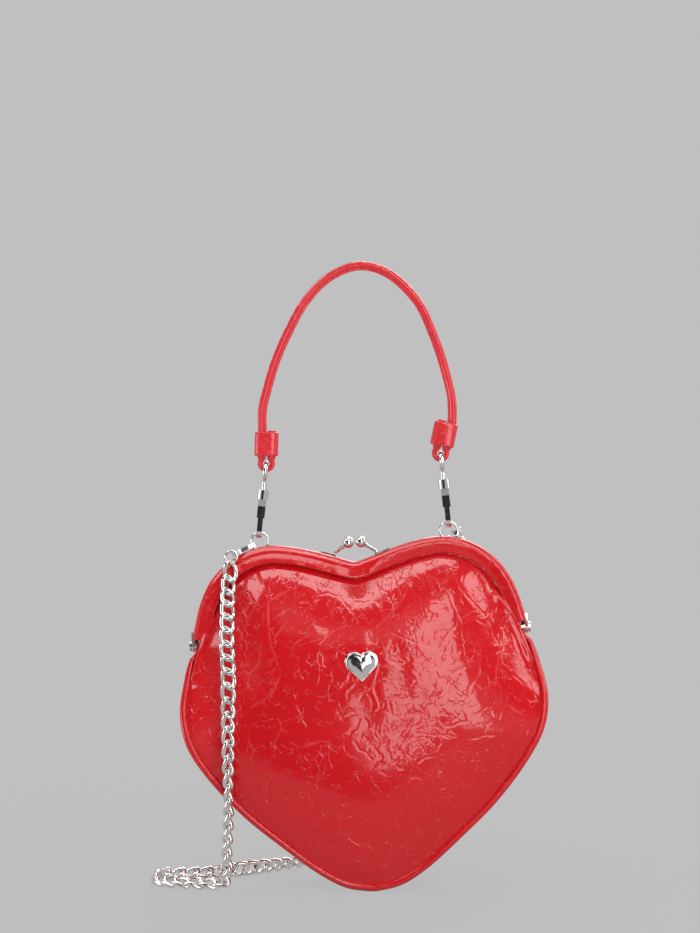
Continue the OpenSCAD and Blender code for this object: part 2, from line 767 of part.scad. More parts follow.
// The handle: rolled leather, thinned and folded back through each hook's eye. Every entry is
// a point in the handle's plane and the leather's radius there
roll_r = roll_d / 2;
collar_up = collar_h - ring_top_z - hook_rise - loop_r;
strand_x = strand_gap / 2;
low_z = collar_up - collar_l / 2 - collar_t / 2;
high_z = collar_up + collar_l / 2 + collar_t;
neck_z = low_z * 0.45;
neck_x = loop_r * 0.3 + strand_x * 0.7;
function fold(side) = concat(
    [for (z = [high_z, collar_up, low_z]) [-side * strand_x, z, roll_r * 0.96]],
    [[-side * neck_x, neck_z, thong_r * 1.1]],
    [for (a = [0:20:180]) [-side * loop_r * cos(a), -loop_r * sin(a), thong_r]],
    [[side * neck_x, neck_z, thong_r * 1.1]],
    [for (z = [low_z, collar_up, high_z]) [side * strand_x, z, roll_r]]);
function placed(side, p) = [
    loop_at(side)[0] + p[0] * cos(tilt(side)) + p[1] * sin(tilt(side)), 0,
    loop_at(side)[1] - p[0] * sin(tilt(side)) + p[1] * cos(tilt(side)), p[2]
];
left_fold = [for (p = fold(-1)) placed(-1, p)];
right_fold = reversed([for (p = fold(1)) placed(1, p)]);
arch_middle = [for (s = arch_shares) [s[0] * arch_w, 0, collar_h + s[1] * arch_h, roll_r]];
arch_path = smooth(concat([last(left_fold)], arch_middle, [right_fold[0]]), 4);
handle_path = concat([for (i = [0:len(left_fold) - 2]) left_fold[i]], arch_path,
    [for (i = [1:len(right_fold) - 1]) right_fold[i]]);
module swept(path, n) {
    pts = [for (p = path) [p[0], p[1], p[2]]];
    tans = tube_tangents(pts);
    sides = tube_sides(tans, [0, 1, 0]);
    sweep_rings([for (i = [0:len(path) - 1])
        ring_round(pts[i], tans[i], sides[i], path[i][3], n)]);
}
module handle_leather() {
    color("crimson") hung() swept(handle_path, 12);
}
module handle_collar(side) {
    in_x = strand_gap / 2 + roll_r + run_gap * 2;
    in_y = roll_r + run_gap * 2;
    at_handle_end(side) translate([0, 0, collar_up - collar_l / 2]) difference() {
        linear_extrude(height = collar_l) {
            square([2 * (in_x + collar_t) - 2 * roll_r, 2 * (in_y + collar_t)], center = true);
            for (s = [-1, 1]) translate([s * strand_gap / 2, 0]) circle(r = in_y + collar_t);
        }
        translate([0, 0, -over]) linear_extrude(height = collar_l + 2 * over) {
            square([strand_gap, 2 * in_y], center = true);
            for (s = [-1, 1]) translate([s * strand_gap / 2, 0]) circle(r = in_y);
        }
    }
}
module handle_collar_left() {
    color("firebrick") hung() handle_collar(-1);
}
module handle_collar_right() {
    color("firebrick") hung() handle_collar(1);
}

// The shoulder chain: clasps round the rings, a small ring at each end, and the links
clasp_angle_left = 203;
clasp_angle_right = -22;
function on_ring(side, angle) =
    [side * ring_x + ring_r * cos(angle), 0, ring_z + ring_r * sin(angle)];
function along_wire(angle) = [sin(angle), 0, -cos(angle)];
function outwards(angle) = [cos(angle), 0, sin(angle)];
left_at = on_ring(-1, clasp_angle_left);
left_dir = unit(0.74 * outwards(clasp_angle_left) + [0, -0.67, 0]);
left_x = along_wire(clasp_angle_left);
right_at = on_ring(1, clasp_angle_right);
right_x = along_wire(clasp_angle_right);
right_dir = unit(0.1 * outwards(clasp_angle_right) + [0, 1, 0]);
left_eye = left_at + clasp_l * left_dir;
right_eye = right_at + clasp_l * right_dir;
left_ring_c = left_eye + link_ring_r * outwards(clasp_angle_left + 12);
right_ring_c = right_eye + link_ring_r * right_dir;

clasp_claw_r = ring_wire_r + clasp_wall + seat_gap * 0.5;
clasp_claw_z = clasp_claw_r - ring_wire_r - seat_gap;
clasp_eye_r = link_ring_wire_r + seat_gap * 1.6;
clasp_neck = clasp_w * 0.24;
clasp_gate = clasp_wall * 0.9;
clasp_side = clasp_claw_r + clasp_wall;
gate_low = clasp_claw_z + clasp_wall * 0.5 + seat_gap;
gate_high = clasp_l * 0.46;
function arc(centre, r, a0, a1, n) =
    [for (k = [0:n]) let (a = a0 + (a1 - a0) * k / n) centre + r * [cos(a), sin(a)]];
module clasp_shape() {
    polygon(concat(
        arc([0, clasp_claw_z], clasp_side, 9, -180, 16),
        [[-clasp_w / 2, clasp_l * 0.42], [-clasp_neck, clasp_l * 0.78]],
        arc([0, clasp_l], clasp_eye_r + clasp_wall, 225, -45, 16),
        [
            [clasp_neck, clasp_l * 0.78], [clasp_side, clasp_l * 0.58],
            [clasp_side, gate_high + seat_gap], [-clasp_neck * 0.3, gate_high + seat_gap]
        ],
        arc([0, clasp_claw_z], clasp_claw_r, 150, 369, 16)));
}
module chain_clasp() {
    difference() {
        side_plate(clasp_t) clasp_shape();
        translate([-clasp_t, 0, clasp_l]) rotate([0, 90, 0])
            cylinder(h = 2 * clasp_t, r = clasp_eye_r);
    }
}
module clasp_lever_shape() {
    polygon([
        [clasp_side - clasp_gate, gate_low], [clasp_side, gate_low],
        [clasp_side + clasp_gate * 0.6, (gate_low + gate_high) / 2],
        [clasp_side, gate_high], [clasp_side - clasp_gate, gate_high]
    ]);
}
module chain_clasp_left() {
    color("silver") hung() aimed(left_at, left_x, left_dir) chain_clasp();
}
module chain_clasp_right() {
    color("silver") hung() aimed(right_at, right_x, right_dir) chain_clasp();
}
module chain_lever_left() {
    color("silver") hung() aimed(left_at, left_x, left_dir)
        side_plate(clasp_t * 0.6) clasp_lever_shape();
}
module chain_lever_right() {
    color("silver") hung() aimed(right_at, right_x, right_dir)
        side_plate(clasp_t * 0.6) clasp_lever_shape();
}
module chain_ring_left() {
    color("silver") hung() translate(left_ring_c) rotate([90, 0, 0])
        torus(link_ring_r, link_ring_wire_r);
}
module chain_ring_right() {
    color("silver") hung() aimed(right_ring_c, right_dir, cross(right_dir, right_x))
        torus(link_ring_r, link_ring_wire_r);
}
module strap_chain() {
    color("gainsboro") tube(smooth(chain_route, 2), chain_d / 2, 8);
}

front_panel();
back_panel();
gusset();
front_piping();
back_piping();
front_lining();
back_lining();
gusset_lining();
front_frame();
back_frame();
front_frame_cover();
back_frame_cover();
hinge_rivet_left();
hinge_rivet_right();
front_clasp_arm();
front_clasp_ball();
back_clasp_arm();
back_clasp_ball();
badge();
ring_left();
ring_right();
handle_leather();
handle_collar_left();
handle_collar_right();
hook_eye_left();
hook_eye_right();
hook_body_left();
hook_body_right();
hook_lever_left();
hook_lever_right();
hook_pin_left();
hook_pin_right();
chain_clasp_left();
chain_clasp_right();
chain_lever_left();
chain_lever_right();
chain_ring_left();
chain_ring_right();
strap_chain();
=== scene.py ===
"""The looks of a heart shaped kiss-lock purse: crinkled glossy leather on a hinged frame,
a rolled handle on two snap hooks, and a curb chain."""

import math

import bpy
import numpy as np
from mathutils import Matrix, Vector, noise


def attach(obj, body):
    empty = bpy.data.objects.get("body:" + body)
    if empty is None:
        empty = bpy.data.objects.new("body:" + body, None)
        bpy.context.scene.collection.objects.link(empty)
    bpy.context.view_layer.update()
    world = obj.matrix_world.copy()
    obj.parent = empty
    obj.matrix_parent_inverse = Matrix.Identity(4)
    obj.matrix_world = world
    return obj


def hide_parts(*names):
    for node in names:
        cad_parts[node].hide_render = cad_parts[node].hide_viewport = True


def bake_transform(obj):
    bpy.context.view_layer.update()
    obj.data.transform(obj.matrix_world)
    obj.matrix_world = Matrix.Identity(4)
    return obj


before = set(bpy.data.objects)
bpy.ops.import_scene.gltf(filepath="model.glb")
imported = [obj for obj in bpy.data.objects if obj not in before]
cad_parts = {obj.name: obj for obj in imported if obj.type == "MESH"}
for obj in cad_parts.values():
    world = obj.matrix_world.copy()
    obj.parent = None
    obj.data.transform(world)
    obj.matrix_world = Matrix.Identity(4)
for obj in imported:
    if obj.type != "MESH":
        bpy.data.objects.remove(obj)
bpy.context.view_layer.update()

scene = bpy.context.scene

# Sizes in millimetres, in the bag's own frame: X right, Y back, Z up from the heart's tip
BAG_W = 200.0
BAG_H = 188.2
BAG_D = 68.0
HINGE_H = 136.0
FRAME_RISE = BAG_H - HINGE_H
GUSSET_W = 48.0
MOUTH_W = 10.0
PANEL_T = 1.6
PIPING_D = 4.4
BAND_H = 9.2
HALF_D = 7.0
MOUTH_GAP = 0.4
COVER_T = 1.0
FRAME_T = 1.0
RING_X = 51.8
RING_R = 4.75
EAR_H = 186.25
RING_Z = EAR_H + RING_R
RING_TOP_Z = RING_Z + RING_R
SLOT_L = 13.0
SLOT_W = 4.8
ARCH_W = 52.0
ARCH_H = 94.6
COLLAR_H = 244.0
ROLL_R = 2.5
STRAND_GAP = 5.4
COLLAR_L = 13.0
COLLAR_T = 1.0
THONG_R = 1.5
HOOK_RISE = 34.5
EYE_WIRE_R = 1.3
LEAN = {-1: 9.0, 1: -3.0}
TURN = {-1: 5.0, 1: 15.0}
BADGE_Z = 125.0
BADGE_W = 18.0
HANG_TILT = math.radians(3.3)
GRIP_X = 0.217 * ARCH_W
GRIP_Z = COLLAR_H + ARCH_H
MM = 0.001

# The heart's lower outline from hinge to tip, as shares of half its width and of the
# hinges' height, and the frame's from its dip to the hinge, of its own height
BODY_SHARES = [
    (0.936, 0.9673), (0.965, 0.8829), (0.998, 0.7431), (0.965, 0.6103), (0.855, 0.4747),
    (0.68, 0.3238), (0.478, 0.191), (0.3, 0.0844), (0.15, 0.0208), (0, 0),
]
FRAME_SHARES = [
    (0, 0.7765), (0.11, 0.8468), (0.24, 0.9272), (0.37, 0.9845), (0.48, 1.0),
    (0.59, 0.9578), (0.7, 0.8486), (0.795, 0.6744), (0.863, 0.4311), (0.9, 0.1917),
    (0.915, 0.0767),
]
ARCH_SHARES = [
    (-0.89, 0.193), (-0.831, 0.308), (-0.719, 0.478), (-0.563, 0.647), (-0.367, 0.815),
    (-0.1, 0.946), (0.217, 1), (0.527, 0.941), (0.802, 0.778), (0.94, 0.599),
    (1.033, 0.423), (1.098, 0.246), (1.108, 0.17),
]

# The chain's route in the row's own millimetres: down in front of the bag, along the
# surface, round behind it and up to the right ring
CHAIN_ROUTE = [
    (-70, -10.8, -163.5), (-70, -10.8, -167), (-71, -13, -175), (-71, -18, -183),
    (-71, -23, -193), (-71, -28, -205), (-70, -33, -220), (-70, -35.5, -234),
    (-70, -36, -256), (-70, -34.5, -277), (-70, -32, -299), (-71, -29, -316),
    (-71, -26, -327), (-74, -22, -334), (-84, -19, -335), (-94, -17, -335),
    (-102, -13, -335), (-108, -6, -335), (-111, 2, -335), (-107, 9, -335),
    (-96, 12, -335), (-82, 15, -335), (-67, 25, -335), (-52, 36, -335), (-38, 47, -335),
    (-25, 57, -335), (-13, 70, -335), (-5, 85, -335), (7, 94, -335), (19, 89, -335),
    (25, 74, -335), (27, 58, -330), (30, 48, -317), (35, 44, -297), (41, 42, -270),
    (46, 41, -240), (51, 38, -210), (55, 31, -184), (56, 22, -165), (55.5, 17.5, -156),
    (55, 16.5, -151.2),
]
FLOOR_Z = -338.8


# Frames and curves

def to_row(points):
    """Points in the bag's millimetres, as metres in the row frame: the bag leans as it hangs."""
    p = np.asarray(points, float)
    x, z = p[..., 0] - GRIP_X, p[..., 2] - GRIP_Z
    c, s = math.cos(HANG_TILT), math.sin(HANG_TILT)
    return np.stack([x * c - z * s, p[..., 1], x * s + z * c], -1) * MM


def to_bag(x, z):
    """A place (x, z) in the row's millimetres, in the bag's own."""
    c, s = math.cos(HANG_TILT), math.sin(HANG_TILT)
    return x * c + z * s + GRIP_X, z * c - x * s + GRIP_Z


def upright(flat, depth):
    """Flat points (x, z) stood up, at this depth from the bag's middle plane."""
    return np.stack([flat[:, 0], depth, flat[:, 1]], -1)


def smooth(points, steps):
    """A smooth curve through the points, with this many steps between neighbours."""
    p = np.asarray(points, float)
    ends = np.vstack([p[:1], p, p[-1:]])
    out = []
    for i in range(len(p) - 1):
        a, b, c, d = ends[i:i + 4]
        for k in range(steps):
            t = k / steps
            out.append(0.5 * (2 * b + (c - a) * t + (2 * a - 5 * b + 4 * c - d) * t * t
                              + (3 * b - a - 3 * c + d) * t ** 3))
    return np.array(out + [p[-1]])


def units(vectors):
    return vectors / np.linalg.norm(vectors, axis=1)[:, None]


def normals_2d(path):
    """The normal on the right of a flat path as it runs, at each of its points."""
    t = units(np.gradient(path, axis=0))
    return np.stack([t[:, 1], -t[:, 0]], -1)


def inset(path, distance):
    """A flat path, moved to its right."""
    return path + distance * normals_2d(path)


def ease(t):
    c = np.clip(t, 0, 1)
    return c * c * (3 - 2 * c)


def risen(values, start, run):
    """A smooth rise from 0 to 1 that starts at one value and takes this long."""
    return ease((values - start) / run)


def interpolated(at, known_at, values):
    """Rows of values between the known ones, each column by itself."""
    columns = np.asarray(values, float).T
    return np.stack([np.interp(at, known_at, column) for column in columns], -1)


def run_of(path):
    """How far along a path each of its points lies."""
    return np.r_[0, np.cumsum(np.linalg.norm(np.diff(path, axis=0), axis=1))]


def evenly(path, step):
    """The path again, with points about a step apart."""
    run = run_of(path)
    count = max(2, int(round(run[-1] / step)) + 1)
    return interpolated(np.linspace(0, run[-1], count), run, path)


def both_sides(half):
    return np.vstack([half[::-1] * (-1, 1), half[1:]])


CURVE_STEPS = 10
frame_half = smooth([(a * BAG_W / 2, HINGE_H + b * FRAME_RISE) for a, b in FRAME_SHARES],
                    CURVE_STEPS)
frame_path = both_sides(frame_half)
body_half = smooth([(a * BAG_W / 2, b * HINGE_H) for a, b in BODY_SHARES], CURVE_STEPS)[::-1]
body_path = both_sides(body_half)


def in_parts(work, points, count=4000):
    """A function of many points, worked out for some of them at a time."""
    return np.concatenate([work(points[i:i + count]) for i in range(0, len(points), count)])


def distance_to(path, points):
    """Each point's distance to the nearest of the path's points."""
    return in_parts(lambda part: np.sqrt(
        ((part[:, None, :] - path[None, :, :]) ** 2).sum(-1)).min(1), points)


# The share of the hinges' height over which the gusset widens, down from the mouth
WIDENING = 0.44


def gusset_half(z):
    widened = ease((HINGE_H - z) / (HINGE_H * WIDENING))
    return MOUTH_W / 2 + (GUSSET_W - MOUTH_W) / 2 * widened


EDGE_GAP = 0.4
EDGE_D = HALF_D - COVER_T - FRAME_T - EDGE_GAP
CROWN_POWER = 1.8
# The folded edge of a panel where it passes in front of the frame's end, on the right
RIDGE = np.array([(77, 156.5), (80.5, 150), (84.5, 142.4), (89, 131), (91.5, 124), (93, 118.7)])
RIDGE_TOP, RIDGE_FOOT = 158, 112
# The fold's height, its spread inside and outside the rim, and where and over what height
# it fades at its top and foot
RIDGE_RISE = 3.6
RIDGE_SPREAD = 3.2, 1.6
RIDGE_FADES = (RIDGE_TOP + 4, 20), (108, 16)


def closed_edge(top_in, side_in, right, foot, step):
    """A closed line: under the frame, down these points on the right, and by the seam."""
    top, low = inset(frame_path, top_in), inset(body_path, -side_in)
    ring = np.vstack([top[top[:, 1] > RIDGE_TOP], right, low[low[:, 1] < foot][::-1],
                      (right * (-1, 1))[::-1]])
    return evenly(np.vstack([ring, ring[:1]]), step)


# Inside this line a panel swells: band, folded edge and seam
RIM_GAP, RIM_STEP = 0.6, 1.5
rim = closed_edge(BAND_H + RIM_GAP, PIPING_D, RIDGE, RIDGE_FOOT, RIM_STEP)


def inside(loop, points):
    """Whether each point lies inside a closed loop."""
    out = np.zeros(len(points), bool)
    for a, b in zip(loop[:-1], loop[1:]):
        spans = (a[1] > points[:, 1]) != (b[1] > points[:, 1])
        if a[1] != b[1]:
            x = a[0] + (points[:, 1] - a[1]) * (b[0] - a[0]) / (b[1] - a[1])
            out ^= spans & (points[:, 0] < x)
    return out


def room(points, least_off=0.05):
    """A smooth stand-in for the distance to the rim, from the whole rim's inverse cubes."""
    a, step = rim[:-1], np.diff(rim, axis=0)
    length = np.linalg.norm(step, axis=1)
    way = step / length[:, None]

    def part_room(part):
        v = part[:, None, :] - a[None]
        near = -(v * way[None]).sum(-1)
        far = length[None] + near
        off = np.abs(v[..., 0] * way[None, :, 1] - v[..., 1] * way[None, :, 0])
        off = np.maximum(off, least_off)
        pull = (far / np.hypot(off, far) - near / np.hypot(off, near)) / (off * off)
        return (pull.sum(1) / 2) ** -0.5

    return in_parts(part_room, points)


PANEL_MIDDLE = np.array((0.0, 0.53 * BAG_H))
MOST_ROOM = room(PANEL_MIDDLE[None])[0]
# From here down, over this height, a panel's edge leaves the frame's depth for the gusset's
SIDE_TOP, SIDE_RUN = HINGE_H + 1, 10.2


def edge_depth(z):
    t = ease((SIDE_TOP - z) / SIDE_RUN)
    return EDGE_D * (1 - t) + np.maximum(gusset_half(z) + PANEL_T / 2, MOUTH_W / 2) * t


def panel_depth(p):
    """How far a panel's outer face stands from the middle plane, at points (x, z)."""
    within = inside(rim, p)
    share = np.where(within, np.clip(room(p) / MOST_ROOM, 0, 1), 0)
    e = edge_depth(p[:, 1])
    off = distance_to(evenly(RIDGE, 1.0), np.abs(p))
    (top, top_run), (foot, foot_run) = RIDGE_FADES
    rise = RIDGE_RISE * ease((top - p[:, 1]) / top_run) * ease((p[:, 1] - foot) / foot_run)
    ridge = rise * np.exp(-(off / np.where(within, *RIDGE_SPREAD)) ** 2)
    return e + (BAG_D / 2 - e) * (1 - (1 - share) ** CROWN_POWER) + ridge


# Meshes

def linked(name, data):
    made = bpy.data.objects.new(name, data)
    scene.collection.objects.link(made)
    return made


def mesh_object(name, verts, faces, material, flip=False):
    order = -1 if flip else 1
    mesh = bpy.data.meshes.new(name)
    mesh.from_pydata([tuple(v) for v in verts], [],
                     [tuple(int(i) for i in f)[::order] for f in faces])
    mesh.polygons.foreach_set("use_smooth", [True] * len(mesh.polygons))
    mesh.update()
    mesh.materials.append(material)
    return linked(name, mesh)


def stand_in(made, node_name):
    """A made piece in a node's place; the node is hidden."""
    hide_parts(node_name)
    return made


HALVES = ("front", -1), ("back", 1)
SIDES = ("left", -1), ("right", 1)


def both_halves(make, piece, node_name):
    """The front and the back one of a piece, from a function of its name and its side."""
    return [stand_in(make(f"{half}_{piece}", side), f"{half}_{node_name}")
            for half, side in HALVES]


def ring_faces(rings, count, closed=False):
    """The side faces between rings of this many points, one ring after another."""
    out = []
    for i in range(rings if closed else rings - 1):
        a0, b0 = i * count, (i + 1) % rings * count
        for k in range(count):
            j = (k + 1) % count
            out.append((a0 + k, a0 + j, b0 + j, b0 + k))
    return out


def swept_object(name, rings, material, flip=False):
    """Rings of points in the bag's millimetres, swept into a solid with flat ends."""
    rings = np.asarray(rings, float)
    m, n = rings.shape[:2]
    a, b = m * n, m * n + 1
    verts = np.vstack([rings.reshape(-1, 3), rings[0].mean(0), rings[-1].mean(0)])
    faces = ring_faces(m, n) + [(a, (k + 1) % n, k) for k in range(n)]
    faces += [(b, (m - 1) * n + k, (m - 1) * n + (k + 1) % n) for k in range(n)]
    return mesh_object(name, to_row(verts), faces, material, flip)


def sides_along(path):
    """Two directions across a path, with little twist; the first sets out as +Y."""
    t = units(np.gradient(path, axis=0))
    side, sides = np.array((0.0, 1.0, 0.0)), []
    for v in t:
        side = side - v * (side @ v)
        side /= np.linalg.norm(side)
        sides.append(side)
    sides = np.array(sides)
    return sides, np.cross(t, sides)


def circle(count):
    turn = np.linspace(0, 2 * math.pi, count, endpoint=False)
    return np.stack([np.cos(turn), np.sin(turn)], -1)


def section_rings(path, section, directions, size):
    """A flat section along two directions across a path, at each of the path's points."""
    a, b = (way[:, None, :] for way in directions)
    return (path[:, None, :] + np.reshape(size, (-1, 1, 1))
            * (section[None, :, :1] * a + section[None, :, 1:] * b))


def square_to_disc(n):
    """A square grid pushed into a round one: its points' radius and angle."""
    s = np.linspace(-1, 1, n + 1)
    a, b = np.meshgrid(s, s, indexing="ij")
    x, y = a * np.sqrt(1 - b * b / 2), b * np.sqrt(1 - a * a / 2)
    return np.hypot(x, y), np.arctan2(y, x)


def grid_rim(n):
    """The border of a square grid of n cells a side, as indices in order round it."""
    row = n + 1
    return ([i * row for i in range(n)] + [n * row + j for j in range(n)]
            + [i * row + n for i in range(n, 0, -1)] + [j for j in range(n, 0, -1)])


def panel_grid(n):
    """A grid of n cells a side over the inside of a panel's edge."""
    spokes = panel_edge - PANEL_MIDDLE
    rho, angle = square_to_disc(n)
    r = rho * np.interp(angle, np.arctan2(spokes[:, 1], spokes[:, 0]),
                        np.linalg.norm(spokes, axis=1), period=2 * math.pi)
    return PANEL_MIDDLE + np.stack([r * np.cos(angle), r * np.sin(angle)], -1).reshape(-1, 2)


def shell_object(name, side, outer, n, inner, m, material):
    """A closed shell from an outer grid of n cells a side and a coarser inner one of m."""
    ratio = n // m
    row, base, low = n + 1, len(outer), m + 1
    faces = [(k, k + row, k + row + 1, k + 1)
             for k in (i * row + j for i in range(n) for j in range(n))]
    faces += [(k, k + 1, k + low + 1, k + low)
              for k in (base + i * low + j for i in range(m) for j in range(m))]
    big, small = grid_rim(n), [base + k for k in grid_rim(m)]
    half = ratio // 2
    for k, a in enumerate(small):
        b = small[(k + 1) % len(small)]
        run = [big[(k * ratio + j) % len(big)] for j in range(ratio + 1)]
        faces += [(a if j < half else b, run[j + 1], run[j]) for j in range(ratio)]
        faces.append((a, b, run[half]))
    return mesh_object(name, to_row(np.vstack([outer, inner])), faces, material, side < 0)


# Leather's creases

MM_PER_PIXEL = 0.548
CAMERA_AT = (-5.09, -1300.0, -109.97)
PICTURE_MIDDLE = (350.0, 466.5)


def from_photo(u, v, depth=28.0):
    """The place (x, z) on the front, this far from the middle plane, that a pixel shows."""
    scale = MM_PER_PIXEL * (1 + depth / CAMERA_AT[1])
    return to_bag(CAMERA_AT[0] + (u - PICTURE_MIDDLE[0]) * scale,
                  CAMERA_AT[2] - (v - PICTURE_MIDDLE[1]) * scale)


# The main creases of the front, traced: pixels across and down in the photograph
CREASE_LINES = [
    [(269, 563), (270, 575), (268, 588), (268, 613), (269, 636), (271, 646), (281, 672)],
    [(271, 587), (280, 577)], [(274, 600), (293, 588)], [(274, 619), (291, 609)],
    [(274, 639), (287, 622)], [(241, 615), (249, 606)], [(292, 646), (311, 632)],
    [(261, 651), (258, 665), (248, 677), (247, 689)], [(281, 674), (272, 694), (251, 707)],
    [(311, 579), (318, 593), (315, 609)], [(340, 599), (357, 619), (358, 626)],
    [(335, 600), (331, 617)], [(352, 666), (348, 680), (340, 689)],
    [(405, 565), (411, 583), (401, 603), (377, 628)], [(450, 559), (448, 580), (443, 586)],
    [(422, 568), (441, 585), (450, 596), (454, 608), (461, 622), (463, 651)],
    [(452, 575), (467, 596), (489, 620)], [(461, 620), (472, 613), (477, 610)],
    [(443, 640), (460, 622)], [(404, 617), (424, 619), (449, 619)],
    [(393, 633), (418, 644), (438, 650)], [(388, 659), (410, 671)],
    [(418, 649), (428, 663), (445, 672)],
    [(435, 694), (448, 683), (450, 674), (467, 666)],
    [(481, 656), (479, 674), (469, 688), (464, 709)], [(509, 634), (498, 666), (495, 686)],
    [(495, 610), (486, 632)], [(380, 662), (374, 686), (380, 705)], [(508, 706), (527, 718)],
    [(290, 741), (303, 748)], [(297, 748), (321, 740)],
]
# Patches of fine creases: middle and reach in pixels, how many, their length in millimetres
CREASE_PATCHES = [
    ((424, 706), (52, 58), 120, (5, 20)), ((402, 735), (34, 26), 60, (4, 12)),
    ((255, 682), (18, 36), 30, (4, 12)), ((440, 610), (50, 44), 60, (6, 18)),
    ((478, 625), (24, 52), 34, (6, 16)), ((300, 600), (60, 40), 20, (5, 16)),
    ((360, 680), (120, 70), 14, (6, 18)), ((505, 660), (22, 46), 14, (6, 18)),
]
# Fine creases, with their headings in radians, and gathers that run in from the band
PATCH_CLOSENESS = 1.7
HEADINGS, STRAY = (0.5, 2.3, -1.2), 0.45
FINE_STRENGTH = 0.2, 0.7
FORK_SHARE, FORK_ANGLE, FORK_STRENGTH = 0.4, (0.5, 1.1), 0.8
GATHER_START, GATHER_STEP = 1.5, 2.1
GATHER_STRAY, GATHER_BEND = 0.28, 0.14
GATHER_LENGTH, GATHER_STRENGTH = (5, 27), (0.3, 0.8)
# A crease's least width, what its strength adds, its reach, and what is left at its ends
CREASE_W, CREASE_W_ADDED = 0.36, 0.2
CREASE_REACH, CREASE_ENDS = 3, 0.12


def wander(rng, start, heading, length, bend=0.34, step=2.0):
    """A crease that sets out from a point and bends a little at every step."""
    points = [np.array(start, float)]
    for _ in range(max(2, int(length / step))):
        heading += rng.normal(0, bend)
        points.append(points[-1] + step * np.array([math.cos(heading), math.sin(heading)]))
    return np.array(points)


def crease_lines(seed, traced, patches, gathers):
    """Every crease of a panel, as (points, strength)."""
    rng = np.random.default_rng(seed)
    lines = [(np.array([from_photo(*p) for p in line]), 1.0) for line in traced]
    for (u, v), (ru, rv), count, (short, long) in patches:
        for _ in range(count):
            at = from_photo(u + ru * rng.normal() / PATCH_CLOSENESS,
                            v + rv * rng.normal() / PATCH_CLOSENESS)
            heading = rng.choice(HEADINGS) + rng.normal(0, STRAY)
            line = wander(rng, at, heading, rng.uniform(short, long))
            strength = rng.uniform(*FINE_STRENGTH)
            lines.append((line, strength))
            if rng.random() < FORK_SHARE:
                fork = heading + rng.choice([-1, 1]) * rng.uniform(*FORK_ANGLE)
                lines.append((wander(rng, line[len(line) // 2], fork, short),
                              strength * FORK_STRENGTH))
    starts = evenly(inset(frame_path, BAND_H + GATHER_START), GATHER_STEP)
    shortest, longest = GATHER_LENGTH
    for at, way in zip(starts, normals_2d(starts)):
        if at[1] < RIDGE_TOP or rng.random() > gathers:
            continue
        heading = math.atan2(way[1], way[0]) + rng.normal(0, GATHER_STRAY)
        length = shortest + (longest - shortest) * rng.random() ** 2
        lines.append((wander(rng, at, heading, length, GATHER_BEND),
                      rng.uniform(*GATHER_STRENGTH)))
    return lines


def crease_field(points, lines):
    """How deep each point lies in a crease: 1 in the middle of a main one, 0 on the flat."""
    field = np.zeros(len(points))
    for line, strength in lines:
        width = CREASE_W + CREASE_W_ADDED * strength
        low, high = line.min(0) - CREASE_REACH, line.max(0) + CREASE_REACH
        where = np.nonzero(((points > low) & (points < high)).all(1))[0]
        if not len(where):
            continue
        p = points[where]
        a, step = line[:-1], np.diff(line, axis=0)
        t = np.clip(((p[:, None] - a[None]) * step[None]).sum(-1) / (step ** 2).sum(-1), 0, 1)
        off = np.linalg.norm(p[:, None] - a[None] - t[..., None] * step[None], axis=-1)
        share = (np.arange(len(a)) + t) / len(a)
        fade = strength * np.sqrt(np.clip(4 * share * (1 - share) + CREASE_ENDS, 0, 1))
        deep = (fade * np.exp(-(off / width) ** 2)).max(1)
        field[where] = np.maximum(field[where], deep)
    return field


def noise_at(points, scale, seed):
    """Smooth noise between -1 and 1 at points in millimetres, one wave per scale."""
    shift = Vector((seed * 17.3, seed * 5.1, seed * 9.7))
    return np.array([noise.noise(Vector((p[0], 0, p[1])) / scale + shift) for p in points])


# Materials

WHITE, BLACK = (1, 1, 1, 1), (0, 0, 0, 1)


def linear(*rgb):
    """A colour given as 0 to 255, as the shader wants it."""
    return tuple(((c / 255 + 0.055) / 1.055) ** 2.4 if c > 10 else c / 255 / 12.92
                 for c in rgb) + (1.0,)


def grey(tone):
    return (tone,) * 3 + (1,)


def darker(colour, share):
    return tuple(c * share for c in colour[:3]) + (1.0,)


def new_material(name):
    made = bpy.data.materials.new(name)
    made.use_nodes = True
    tree = made.node_tree
    return made, tree, tree.nodes["Principled BSDF"]


def feed(tree, made, inputs):
    """Gives a node's inputs, by name or number, a value or another node's output."""
    for key, value in inputs.items():
        if isinstance(value, bpy.types.NodeSocket):
            tree.links.new(value, made.inputs[key])
        else:
            made.inputs[key].default_value = value


def node(tree, kind, *first, **named):
    """A node, with its first inputs in order and its settings and other inputs by name."""
    made = tree.nodes.new("ShaderNode" + kind)
    for key in [k for k in named if k not in made.inputs]:
        setattr(made, key, named.pop(key))
    feed(tree, made, {**dict(enumerate(first)), **named})
    return made


def maths(tree, operation, *inputs, **settings):
    return node(tree, "Math", *inputs, operation=operation, **settings).outputs[0]


def mixed(tree, share, first, second, blend="MIX"):
    """Two colours, with this share of the second."""
    made = node(tree, "Mix", data_type="RGBA", blend_type=blend)
    feed(tree, made, {0: share, 6: first, 7: second})
    return made.outputs[2]


def ramp(tree, source, stops):
    made = node(tree, "ValToRGB", source)
    while len(made.color_ramp.elements) < len(stops):
        made.color_ramp.elements.new(0.5)
    for e, (at, colour) in zip(made.color_ramp.elements, stops):
        e.position = at
        e.color = colour
    return made.outputs["Color"]


def coordinates(tree):
    return node(tree, "TexCoord").outputs["Object"]


def clouds(tree, place, size, output="Fac", **settings):
    """Noise whose waves are this many millimetres long."""
    return node(tree, "TexNoise", Vector=place, Scale=1 / (size * MM),
                **settings).outputs[output]


